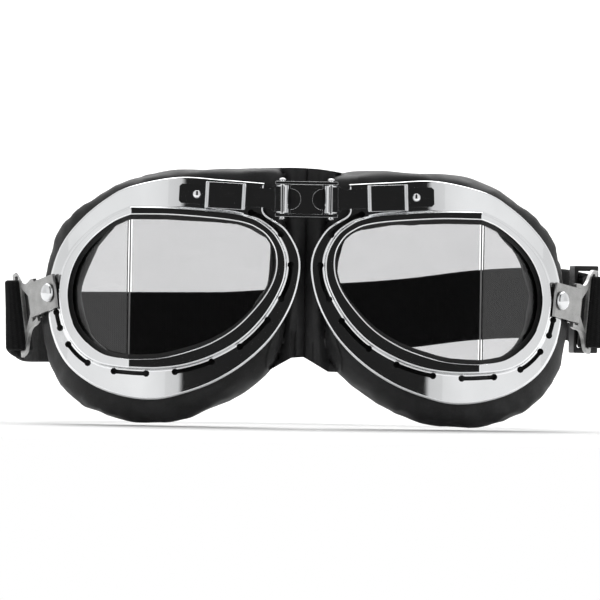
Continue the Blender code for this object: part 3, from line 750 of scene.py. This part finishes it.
ROUND = [(0, 1), (0.134, 0.5), (0.5, 0.134), (1, 0)]  # a quarter turn from the side to the face


def flange_front(x):
    """Depth of the flange's front, which stays nearly square to the viewer at the nose."""
    return flange_y(x) - 0.003 * max(16 - x, 0) ** 2


def eye_frame(side):
    """The chromed pressing: rounded flange edge, raised creased rim, and vent slots at the rim's foot."""
    wall = offset(rim_line, -SHEET)
    seat = offset(opening_line, SHEET)
    inner = offset(flange_line, -SHEET)
    foot = offset(rim_line, 1.0)
    lip = offset(flange_line, -0.8)

    def behind(x):
        return flange_front(x) + back_of_flange(x, SHEET) - flange_y(x)

    rows = [level(flange_line, flange_front, LIP, side)]
    rows += [level(offset(flange_line, -0.7 * u), flange_front, 0.7 * v, side) for u, v in ROUND]
    rows += [level(mix(lip, foot, share), flange_front, 0, side) for share in (0, 0.33, 0.67, 1)]
    rows += [level(offset(rim_line, 0.7 * u), flange_front, -0.7 * v, side) for u, v in ROUND[::-1]]
    rows.append(level(rim_line, flange_front, -0.9, side))
    rows.append(level(rim_line, rim_y, 0.75, side))
    rows += [level(offset(rim_line, -0.55 * u), rim_y, 0.55 * v, side) for u, v in ROUND]
    rows.append(level(offset(rim_line, -0.65), rim_y, 0, side))
    rows.append(level(offset(opening_line, 0.55), rim_y, 0, side))
    rows += [level(offset(opening_line, 0.45 * u), rim_y, 0.45 * v, side) for u, v in ROUND[::-1]]
    rows += [
        level(opening_line, rim_y, 0.55, side),
        level(opening_line, rim_y, GASKET_Y[0] - GAP, side),
        level(seat, rim_y, GASKET_Y[0] - GAP, side),
        level(mix(seat, wall, 0.1), rim_y, SHEET, side),
        level(wall, rim_y, SHEET, side),
        level(wall, behind, 0, side),
        level(inner, behind, 0, side),
        level(inner, flange_front, LIP + 0.6, side),
    ]
    obj = side_piece("chrome_frame", side, ring(rows), "eye", CHROME, "chrome", "eye_frame")
    vent_foot = offset(curve(RIM, (), VENT_FINE), VENT_OUT)
    for start, end in VENTS:
        last = round((end - start) * VENT_FINE)
        line = [vent_foot[round(start * VENT_FINE) + k] for k in range(last + 1)]
        outline = dog_bone(line)
        low = min(flange_front(u) for u, _ in outline) - 1.5
        high = max(back_of_flange(u, SHEET) for u, _ in outline) + 1.5
        cut(obj, plate(outline, [], low, high, lambda u, v, w: Vector((side * u, w, v))))
    cut(obj, cylinder(rivet_point(side), rivet_axis(side), SHANK_HOLE_R, -6, 3, 24))
    apply_modifiers(obj)
    obj.data.set_sharp_from_angle(angle=math.radians(35))


for s in (-1, 1):
    eye_frame(s)


# ---------------------------------------------------------------- cushions

def cushion_rows(side):
    """Cross-section of the cushion from its front outer edge round the face side to its front inner edge."""
    def at(share):
        """A depth function: from the cushion's front at 0 to its face side at 1."""
        def depth(x):
            front = back_of_flange(x, CUSHION_FRONT)
            return front + (face_y(x) - CUSHION_INSET - front) * share
        return depth

    def clear_of_nose(line, depth, wall):
        """The line kept off the middle, more so towards the back and for the rows on the inside."""
        side_x = NOSE_SIDE_X + CUSHION_INSET + wall
        return [Vector((max(p.x, side_x + 0.18 * max(depth(p.x) - 4, 0)), p.y)) for p in line]

    outer = offset(cushion_line, -CUSHION_INSET)
    hole = offset(opening_line, -1.6)
    hole = [Vector((min(p.x, 60 + (p.x - 60) * 0.75), p.y)) for p in hole]
    inner = offset(hole, CUSHION_INSET)
    rows = [  # (line, depth, wall)
        (mix(offset(flange_line, -1.5), outer, 0.12 * CUSHION_INSET), at(0.02), 0),
        (mix(flange_line, outer, 0.8), at(0.1), 0),
        (outer, at(0.3), 0),
        (outer, at(0.62), 0),
        (mix(outer, inner, 0.12), at(0.9), 0.3),
        (mix(outer, inner, 0.4), at(1.0), 0.8),
        (mix(outer, inner, 0.72), at(0.96), 1.5),
        (inner, at(0.78), 2.0),
        (inner, lambda x: rim_y(x) + RETAINER_Y[1] + 0.5, 2.0),
    ]
    return [level(clear_of_nose(line, depth, wall), depth, 0, side) for line, depth, wall in rows]


def puckered(p, side):
    """How far the leather is drawn in at a point, in gathers that fade away from the frame."""
    x = side * p.x
    around = math.atan2(p.z - 45, x - 48)
    near_frame = max(0.0, 1 - abs(p.y - back_of_flange(x, 4)) / 9)
    gathers = noise.noise(Vector((around * 9.0, 0.05 * p.y, side * 5))) * 0.9
    fine = noise.noise(Vector((around * 26.0, 0.1 * p.y, side * 3))) * 0.35
    low = part_way(p.z, 30, 5)
    return (gathers + fine) * near_frame * (0.35 + 0.65 * low) + 0.25 * noise.noise(p * 0.07)


def crown(p, side):
    """How far the left cushion stands higher at the nose, where it is sewn to the web."""
    near_nose = math.exp(-((side * p.x - 12) / 8) ** 2)
    return 1.15 * (1 - side) * near_nose * part_way(p.z, 72, 84)


def fullness(p, side):
    """How far the cushion bulges past its pattern at the upper temple."""
    return 1.4 * math.exp(-((side * p.x - 80) / 10) ** 2 - ((p.z - 67) / 12) ** 2)


def swell(obj, held):
    """Fills a closed skin with cloth simulation, and keeps every point near where it started."""
    start = [v.co.copy() for v in obj.data.vertices]
    group = obj.vertex_groups.new(name="held")
    group.add(held, 1.0, "REPLACE")
    cloth = obj.modifiers.new("Cloth", "CLOTH")
    cloth.settings.use_pressure = True
    cloth.settings.uniform_pressure_force = CUSHION_PRESSURE
    cloth.settings.effector_weights.gravity = 0
    cloth.settings.vertex_group_mass = "held"
    cloth.settings.mass = 0.15
    cloth.settings.tension_stiffness = 12
    cloth.settings.compression_stiffness = 12
    cloth.settings.shear_stiffness = 4
    cloth.settings.bending_stiffness = 0.3
    cloth.settings.shrink_min = -0.03
    cloth.point_cache.frame_start, cloth.point_cache.frame_end = 1, SWELL_STEPS
    scene = bpy.context.scene
    for step in range(1, SWELL_STEPS + 1):
        scene.frame_set(step)
    apply_modifiers(obj)
    scene.frame_set(1)
    for v, home in zip(obj.data.vertices, start):
        moved = v.co - home
        if moved.length > SWELL * MM:
            v.co = home + moved.normalized() * (SWELL * MM)


def cushion(side):
    """A stuffed leather ring behind the frame, gathered where the frame holds it."""
    rows = cushion_rows(side)
    room = level(offset(rim_line, -0.6), rim_y, RETAINER_Y[1] + 0.9, side)
    bm = ring([row[::4] for row in rows + [room]])
    inside = ("cushion_cover", "foam_pad")
    obj = side_piece("leather_cushion", side, bm, "eye", LEATHER, "leather", *inside, smooth=180)
    remesh = obj.modifiers.new("Remesh", "REMESH")
    remesh.mode = "VOXEL"
    remesh.voxel_size = CUSHION_VOXEL * MM
    apply_modifiers(obj)
    held = []
    for v in obj.data.vertices:
        p = from_nose(v.co)
        if p.y < back_of_flange(side * p.x, HELD_DEPTH) + CUSHION_FRONT:
            held.append(v.index)
    swell(obj, held)
    smooth = obj.modifiers.new("Smooth", "SUBSURF")
    smooth.levels = smooth.render_levels = 1
    apply_modifiers(obj)
    mesh = obj.data
    for v, normal in [(v, v.normal.copy()) for v in mesh.vertices]:
        p = from_nose(v.co)
        v.co += normal * (puckered(p, side) + fullness(p, side)) * MM
        v.co.z = max(v.co.z + crown(p, side) * MM, 0.0)
    mesh.shade_smooth()
    points = [from_nose(v.co) for v in mesh.vertices]
    skin = BVHTree.FromPolygons(points, [tuple(face.vertices) for face in mesh.polygons])
    outer, inner = rows[3], rows[7]
    for label, share in (("outer_seam", 0.16), ("inner_seam", 0.80)):
        seam(side, label, skin, [p.lerp(q, share) + Vector((0, 9, 0)) for p, q in zip(outer, inner)])
    return skin


def seam(side, label, skin, guide):
    """A raised welt on the leather where it lies nearest the guide, with a row of stitches outside it."""
    path = [skin.find_nearest(p)[:2] for p in guide]
    welt = tube([p + normal * 0.25 for p, normal in path[::2]], 0.7, 8)
    side_piece(f"{label}_welt", side, welt, "eye", LEATHER, "leather", smooth=180)
    line, count, fine = [], len(path), 6
    for i in range(count * fine + 1):
        at = i // fine % count
        p = path[at][0].lerp(path[(at + 1) % count][0], i % fine / fine)
        away = guide[at] - Vector((side * 46, guide[at].y, 46))
        line.append(skin.find_nearest(p + away.normalized() * 1.9)[:2])
    side_piece(f"{label}_stitches", side, stitches(line, 2.4, 1.0, 0.22), "eye", THREAD, "leather")


skins = {s: cushion(s) for s in (-1, 1)}


# ---------------------------------------------------------------- panes and small parts kept from the model

KEPT = {
    "lens_gasket": RUBBER,
    "lens_retainer": PLASTIC,
    "front_lens": GLASS,
    "side_lens": GLASS,
    "lens_post": SPACER,
}
for label, finish in KEPT.items():
    for s in (-1, 1):
        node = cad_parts[f"{label}_{side_name(s)}"]
        node.data.materials.clear()
        node.data.materials.append(finish)


# ---------------------------------------------------------------- nose link and slides

def nose_link():
    """A folded channel: a web with two round cut-outs, and rails above and below that hold the pins."""
    half, sheet = LINK_HEIGHT / 2, LINK_SHEET
    section = [(LINK_BACK, -half), (LINK_FRONT, -half), (LINK_FRONT, sheet - half),
               (LINK_BACK - sheet, sheet - half), (LINK_BACK - sheet, half - sheet),
               (LINK_FRONT, half - sheet), (LINK_FRONT, half), (LINK_BACK, half)]
    ends = (-LINK_HALF_LENGTH, LINK_HALF_LENGTH)
    rows = [[Vector((x, y, LINK_Z + z)) for y, z in section] for x in ends]
    obj = piece("nose_channel", stack(rows), "nose", HARDWARE, ["nose_link"])
    inside = half - sheet
    for side in (-1, 1):
        notch = [(WEB_HALF_LENGTH, -inside), (12, -inside), (12, inside), (WEB_HALF_LENGTH, inside)]
        upright = lambda u, v, w: Vector((side * u, w, LINK_Z + v))
        cut(obj, plate(notch, [], LINK_BACK - sheet - 0.5, 1, upright))
        cut(obj, cylinder((side * WEB_HALF_LENGTH, 0, LINK_Z), (0, 1, 0), CUTOUT_R, -3, 3, 48))
    apply_modifiers(obj)
    edge(obj, 0.3)


def hinge_pin(side):
    """A pin through the link's rails, with a flat head below and a domed one above."""
    top = LINK_HEIGHT / 2 + 0.3
    profile = [(0, -top - 0.7), (0.8, -top - 0.6), (1.1, -top - 0.3), (1.1, -top), (PIN_R, -top),
               (PIN_R, top), (1.2, top), (1.25, top + 0.3), (1.1, top + 0.6), (0.7, top + 0.8),
               (0, top + 0.85)]
    pin = turned(profile, (side * PIN_X, PIN_Y, LINK_Z), (0, 0, 1), 32)
    name = side_name(side)
    piece(f"pin_{name}", pin, "nose", HARDWARE, [f"hinge_pin_{name}"])


def slide_strip(side):
    """A flat strip whose inner end flares and is rolled round the hinge pin."""
    upright = lambda u, v, w: Vector((side * u, v, LINK_Z + w))
    knuckle, hole = circle(PIN_X, PIN_Y, KNUCKLE_R, 48), circle(PIN_X, PIN_Y, PIN_HOLE_R, 48)
    roll = plate(knuckle, [hole], -KNUCKLE_HEIGHT / 2, KNUCKLE_HEIGHT / 2, upright)
    obj = side_piece("strip", side, roll, "strip", HARDWARE, "chrome", "slide_strip")
    wide = KNUCKLE_HEIGHT / 2 - 0.2
    half = [(0, wide), (2.6, wide), (3.1, wide - 0.15), (3.6, wide - 0.7), (4.1, STRIP_HALF + 0.15),
            (4.7, STRIP_HALF), (STRIP_END - 0.8, STRIP_HALF), (STRIP_END, STRIP_HALF - 0.8)]
    outline = half + [(u, -v) for u, v in reversed(half)]
    tail = plate(outline, [circle(STOP_AT, 0, 0.9, 24)], *STRIP_Y, lambda u, v, w: along_strip(side, u, v, w))
    cut(obj, tail, "UNION")
    low = STRIP_Y[0] - PIN_Y
    brow = [(-0.75, 0.06 - KNUCKLE_R), (2.3, 0.06 - KNUCKLE_R), (2.5, low + 0.4), (-0.75, 0)]
    brow = [(PIN_X + u, PIN_Y + v) for u, v in brow]
    cut(obj, plate(brow, [], -4.2, 4.2, upright), "UNION")
    apply_modifiers(obj)
    edge(obj, 0.18)
    profile = [(0, -0.75), (0.55, -0.75), (0.55, GAP), (1.35, GAP), (1.3, 0.5), (1.05, 0.72), (0.7, 0.86),
               (0, 0.92)]
    stop = turned(profile, along_strip(side, STOP_AT, 0, STRIP_Y[0]), (0, -1, 0), 32)
    side_piece("stop", side, stop, "strip", CHROME, "chrome", "stop_rivet")


def slide_keeper(side):
    """The loop on the flange that the strip slides in, with a raised rib at each end."""
    out, leg, top, roof = 4.4, 3.62, -3.5, -2.65
    rib = [(0, 0), (0.15, 0.45), (0.5, 0.6), (0.85, 0.45), (1.0, 0)]
    sections = []
    for at, rise in rib + [(12.5 + at, rise) for at, rise in rib]:
        shape = [(-out, -GAP), (-out, top - rise), (out, top - rise), (out, -GAP),
                 (leg, -GAP), (leg, roof), (-leg, roof), (-leg, -GAP)]
        sections.append([along_strip(side, KEEPER_FROM + at, up, depth) for up, depth in shape])
    obj = side_piece("keeper", side, stack(sections), "eye", HARDWARE, "chrome", "slide_keeper")
    edge(obj, 0.25)


# ---------------------------------------------------------------- temples

def rivet(side):
    """The domed rivet that holds the bracket on the flange, spread behind it."""
    tail, tip = -SHEET - 0.35, -SHEET - 0.7
    foot = BRACKET_SHEET + 2 * GAP
    dome_from, dome_height = foot + 0.25, 1.6
    profile = [(0, tip), (SHANK_R + 0.6, tip), (SHANK_R + 0.6, tail), (SHANK_R, tail),
               (SHANK_R, foot), (RIVET_R, foot), (RIVET_R, dome_from)]
    turns = [math.pi / 2 * k / 6 for k in range(1, 6)]
    profile += [(RIVET_R * math.cos(turn), dome_from + dome_height * math.sin(turn)) for turn in turns]
    profile.append((0, dome_from + dome_height))
    bm = turned(profile, rivet_point(side), rivet_axis(side), 40)
    side_piece("rivet", side, bm, "eye", HARDWARE, "satin_steel", "bracket_rivet")


def strap_bracket(side):
    """A steel plate on the temple's rivet, folded round the buckle's inner bar."""
    along = Vector((math.cos(BRACKET_TURN), math.sin(BRACKET_TURN)))
    out = Vector((math.sin(BRACKET_TURN), -math.cos(BRACKET_TURN)))
    middle = rivet_point(1).xy + out * (GAP + BRACKET_SHEET / 2)
    centre = fold_bar(1).xy
    path = [middle - along * BRACKET_IN, middle + along * (FOLD_AT - 1.5)]
    for step in range(25):
        angle = math.radians(90 - step * 10)
        path.append(centre + (along * math.cos(angle) + out * math.sin(angle)) * FOLD_R)
    outline = thick_line(path, BRACKET_SHEET * 0.8)
    place = lambda u, v, w: swivelled(side, Vector((side * u, v, RIVET_Z + w)))
    sheet = plate(outline, [], -BRACKET_HALF, BRACKET_HALF, place)
    obj = side_piece("bracket", side, sheet, "bracket", STEEL, "satin_steel", "strap_bracket")
    cut(obj, cylinder(rivet_point(side), rivet_axis(side), SHANK_HOLE_R, -2, 4, 32))
    apply_modifiers(obj)
    edge(obj, 0.22)


def strap_buckle(side):
    """A flat spread buckle: ears beside the fold, a middle window, a slim bar and the strap's slot."""
    bar = (STRAP_BAR_AT - STRAP_BAR_HALF, STRAP_BAR_AT + STRAP_BAR_HALF)
    half = [(-0.7, 7.4), (2.0, 7.9), (4.6, 7.6), (7.0, 7.9), (9.0, 9.6), (10.8, 12.4), (12.6, 14.2),
            (bar[1], 14.4)]
    half = rounded(half, 3)
    outline = half + [(u, -v) for u, v in reversed(half)]
    holes = [
        [(0.7, -6.3), (0.7, 6.3), (3.6, 6.3), (3.6, -6.3)],
        [(4.9, -3.0), (4.9, 3.0), (10.5, 8.0), (10.5, -8.0)],
        [(11.3, -10.8), (11.3, 10.8), (12.2, 12.6), (bar[0], 13.0), (bar[0], -13.0), (12.2, -12.6)],
    ]
    place = lambda u, v, w: on_buckle(side, u, v - STRAP_SAG[side] * max(u, 0) / STRAP_BAR_AT, w)
    sheet = plate(outline, holes, -BUCKLE_SHEET / 2, BUCKLE_SHEET / 2, place)
    obj = side_piece("buckle", side, sheet, "buckle", STEEL, "satin_steel", "strap_buckle")
    edge(obj, 0.3)


# ---------------------------------------------------------------- strap

def strap(side):
    """Half of the elastic strap: from its end at the back, round the buckle's bar, and back along itself."""
    outer, middle, up = strap_lines(side)
    inner = [beside(outer, i, apart(p.y)) for i, p in enumerate(outer) if p.y < INNER_END[side]]
    along = (outer[1] - outer[0]).xy.normalized()
    outward = Vector((along.y, -along.x, 0))
    turns = []
    for step in range(1, 12):
        angle = math.pi * step / 12
        turns.append(middle + (outward * math.cos(angle) - along.to_3d() * math.sin(angle)) * LAYER_OUT)
    path = outer[::-1] + turns + inner
    half, thick = STRAP_WIDTH / 2, STRAP_THICK / 2
    flat = half - 0.9
    profile = [(-flat + 2 * flat * k / 8, -thick) for k in range(9)]
    profile += [(half - 0.3, -thick * 0.7), (half, 0), (half - 0.3, thick * 0.7)]
    profile += [(-u, -w) for u, w in profile]
    bm = bmesh.new()
    uvs = bm.loops.layers.uv.new("UVMap")
    loops, where, travelled = [], {}, 0.0
    for i, p in enumerate(path):
        step = heading(path, i).xy.normalized()
        normal = Vector((-step.y, step.x, 0))
        lean = up.lerp(Vector((0, 0, 1)), part_way(p.y, 52, 78)).normalized()
        travelled += (p - path[max(i - 1, 0)]).length
        from_bar = p - middle
        fan = max(0, 1 - from_bar.length / 12) * max(0, from_bar.dot(outward)) / LAYER_OUT * STRAP_FAN
        sag = STRAP_SAG[side] * min(1, 0.3 + p.x / 40)
        row = []
        for u, w in profile:
            sway = 0.25 * noise.noise(Vector((travelled * 0.05, u * 0.05, side * 9)))
            q = p + lean * u + normal * (w + sway) + outward * fan * (half - u)
            vert = bm.verts.new((side * q.x, q.y, q.z - sag))
            where[vert] = (travelled * MM, u * MM)
            row.append(vert)
        loops.append(row)
    for a, b in zip(loops, loops[1:]):
        bridge(bm, a, b)
    bm.faces.new(loops[0])
    bm.faces.new(loops[-1][::-1])
    for face in bm.faces:
        for loop in face.loops:
            loop[uvs].uv = where[loop.vert]
    side_piece("webbing", side, bm, "buckle", WEBBING, "webbing", "strap", smooth=60)


def adjuster():
    """A slide on the right-hand strand: a frame with rounded bars round the strap's two layers."""
    route = strap_lines(1)[0]
    near = min(range(len(route)), key=lambda i: abs(route[i].y - ADJUSTER_Y))
    centre = beside(route, near, apart(ADJUSTER_Y) / 2)
    along = (route[near + 1] - route[near - 1]).xy.normalized()
    across = Vector((along.y, -along.x))
    outline = [(-4.2, -15.0), (4.2, -15.0), (4.2, 15.0), (-4.2, 15.0)]
    window = [(-3.0, -13.2), (3.0, -13.2), (3.0, 13.2), (-3.0, 13.2)]

    def place(u, v, w):
        flat = centre.xy + across * u + along * w
        return Vector((flat.x, flat.y, centre.z + v))

    bm = plate(outline, [window], -4.0, 4.0, place)
    obj = piece("adjuster", bm, "buckle_right", PLASTIC, ["strap_adjuster"])
    edge(obj, 0.5, 4)


# ---------------------------------------------------------------- nose gusset

def gusset_depth(x, z):
    """Depth of the leather web's front: two soft upright rolls with a crease between them."""
    roll = 3.2 * abs(math.sin(math.pi * min(abs(x / 7.5), 1) * 0.62)) ** 0.8
    sway = 0.5 * noise.noise(Vector((x * 0.25, z * 0.05, 4)))
    pleat = 1.6 * math.exp(-((x + 3.6) / 0.7) ** 2) * part_way(z, 40, 32)
    return 8.2 - roll * (1.0 - 0.4 * max(0.0, (z - 60) / 27)) + sway + pleat


def gusset_point(x, z):
    """A point of the web's front. Beyond the crease it lies on the cushion's skin, just behind the flange."""
    side = 1 if x > 0 else -1
    depth = gusset_depth(x, z)
    hit = skins[side].ray_cast(Vector((x, -20, z)), Vector((0, 1, 0)))[0]
    share = part_way(abs(x), 4, 9)
    on_skin = min(hit.y - 0.5, depth + 6) if hit else depth + 4
    return Vector((x, depth + (on_skin - depth) * share * share * (3 - 2 * share), z))


def gusset_foot(x):
    """Height of the web's lower edge: a pointed arch, a little off the middle."""
    return max(24.2 - 0.6 * (math.hypot(x + 2.0, 1.2) - 1.2), 18.8)


def gusset_top(x):
    """Height of the web's upper edge, which bows down and slants to the right."""
    return 87.3 - (0.0048 + 0.002 * (1 if x > 0 else -1)) * x**2 - 0.035 * x


def gusset(side, low, high):
    """One upright strip of the web, from low to high millimetres off the middle."""
    inner = low == 0
    across, tall = round((high - low) * 2), 72

    def reach(share):
        """The strip's outer edge. The outer strip widens above and below the lens opening."""
        z = 23.6 + 63.6 * share
        return high if inner else high + 8.0 * part_way(z, 66, 74) + 3.4 * part_way(z, 38, 28)

    bm = bmesh.new()
    sheets = []
    for back in (0, 1.3):
        rows = []
        for i in range(across + 1):
            row = []
            for j in range(tall + 1):
                x = side * (low + (reach(j / tall) - low) * i / across)
                z = gusset_foot(x) + (gusset_top(x) - gusset_foot(x)) * j / tall
                row.append(bm.verts.new(gusset_point(x, z) + Vector((0, back, 0))))
            rows.append(row)
        sheets.append(rows)
    front, rear = sheets
    for rows in sheets:
        for a, b in zip(rows, rows[1:]):
            for j in range(tall):
                bm.faces.new((a[j], b[j], b[j + 1], a[j + 1]))
    for i in range(across):
        for j in (0, tall):
            bm.faces.new((front[i][j], front[i + 1][j], rear[i + 1][j], rear[i][j]))
    for i in (0, across):
        for j in range(tall):
            bm.faces.new((front[i][j], front[i][j + 1], rear[i][j + 1], rear[i][j]))
    label = "inner" if inner else "outer"
    obj = piece(f"gusset_{label}_{side_name(side)}", bm, "", LEATHER, smooth=60)
    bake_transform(obj)
    if inner:
        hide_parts("nose_gusset")


nose_link()
for s in (-1, 1):
    hinge_pin(s)
for s in (-1, 1):
    slide_strip(s)
    slide_keeper(s)
    rivet(s)
    strap_bracket(s)
    strap_buckle(s)
    strap(s)
    gusset(s, 0, 2.6)
    gusset(s, 2.6, 9.2)
adjuster()


# ---------------------------------------------------------------- studio

def area_light(name, place, target, width, height, power):
    light = bpy.data.lights.new(name, "AREA")
    light.shape = "RECTANGLE"
    light.size = width
    light.size_y = height
    light.energy = power
    obj = add_object(name, light)
    obj.location = place
    obj.rotation_euler = (Vector(target) - Vector(place)).to_track_quat("-Z", "Y").to_euler()


def floor():
    """A pale sweep: a flat floor that turns up into a wall far behind the goggles."""
    bm = bmesh.new()
    near, far, radius, height, half = -0.35, 3.0, 1.0, 4.0, 4.0
    turns = [math.pi / 2 * k / 12 for k in range(1, 13)]
    line = [(near, 0.0), (0.0, 0.0), (far, 0.0)]
    line += [(far + radius * math.sin(turn), radius - radius * math.cos(turn)) for turn in turns]
    line.append((far + radius, height))
    left, right = ([bm.verts.new((x, y, z - FLOOR_DROP)) for y, z in line] for x in (-half, half))
    for i in range(len(line) - 1):
        bm.faces.new((left[i], left[i + 1], right[i + 1], right[i]))
    mesh = bpy.data.meshes.new("floor")
    bm.to_mesh(mesh)
    bm.free()
    mesh.shade_smooth()
    made = Finish("paper", grey(0.9), 0.0, 0.9)
    made.colours(made.noise(3, 2), (0.3, grey(0.88)), (0.7, grey(0.92)))
    mesh.materials.append(made.material)
    add_object("floor", mesh)


def surroundings():
    """White studio behind the goggles, dark round the camera, with a bright panel on each side."""
    world = bpy.data.worlds.new("studio")
    bpy.context.scene.world = world
    world.use_nodes = True
    add, link = world.node_tree.nodes.new, world.node_tree.links.new
    split = add("ShaderNodeSeparateXYZ")
    link(add("ShaderNodeTexCoord").outputs["Generated"], split.inputs["Vector"])

    behind = add("ShaderNodeMapRange")
    behind.interpolation_type = "SMOOTHSTEP"
    behind.inputs["From Max"].default_value = 0.5
    behind.inputs["To Max"].default_value = 0.95
    link(split.outputs["Y"], behind.inputs["Value"])

    sideways = add("ShaderNodeMath")
    sideways.operation = "ABSOLUTE"
    link(split.outputs["X"], sideways.inputs[0])
    panels = add("ShaderNodeValToRGB")
    link(sideways.outputs["Value"], panels.inputs["Fac"])
    stops = panels.color_ramp.elements
    for at, _ in PANELS[1:-1]:
        stops.new(at)
    for stop, (_, value) in zip(stops, PANELS):
        stop.color = (*grey(value), 1)

    lit = add("ShaderNodeMix")
    lit.data_type = "RGBA"
    lit.blend_type = "LIGHTEN"
    lit.inputs["Factor"].default_value = 1.0
    link(panels.outputs["Color"], lit.inputs["A"])
    link(behind.outputs["Result"], lit.inputs["B"])

    seen = add("ShaderNodeMix")
    seen.data_type = "RGBA"
    link(add("ShaderNodeLightPath").outputs["Is Camera Ray"], seen.inputs["Factor"])
    link(lit.outputs["Result"], seen.inputs["A"])
    seen.inputs["B"].default_value = (1, 1, 1, 1)
    link(seen.outputs["Result"], world.node_tree.nodes["Background"].inputs["Color"])


floor()
surroundings()
for s in (-1, 1):
    area_light(f"front_box_{side_name(s)}", (s * 1.15, -1.0, 0.25), (0, 0, 0.04), 1.6, 1.2, 0.5)
area_light("top_box", (0, 0.1, 1.5), (0, 0, 0), 1.2, 0.8, 4)
area_light("floor_wash", (0, 2.2, 2.4), (0, 2.2, 0), 3.0, 3.0, 90)

camera_data = bpy.data.cameras.new("camera")
camera_data.sensor_width = SENSOR
camera_data.lens = SENSOR * DISTANCE / WIDTH_SEEN
camera_data.clip_start, camera_data.clip_end = 0.05, 20
camera = add_object("camera", camera_data)
camera.location = in_frame((-1.7, -DISTANCE / MM, 42.9))
camera.rotation_euler = (math.radians(90), math.radians(-0.9), 0)
bpy.context.scene.camera = camera
bpy.context.scene.view_settings.view_transform = "Standard"
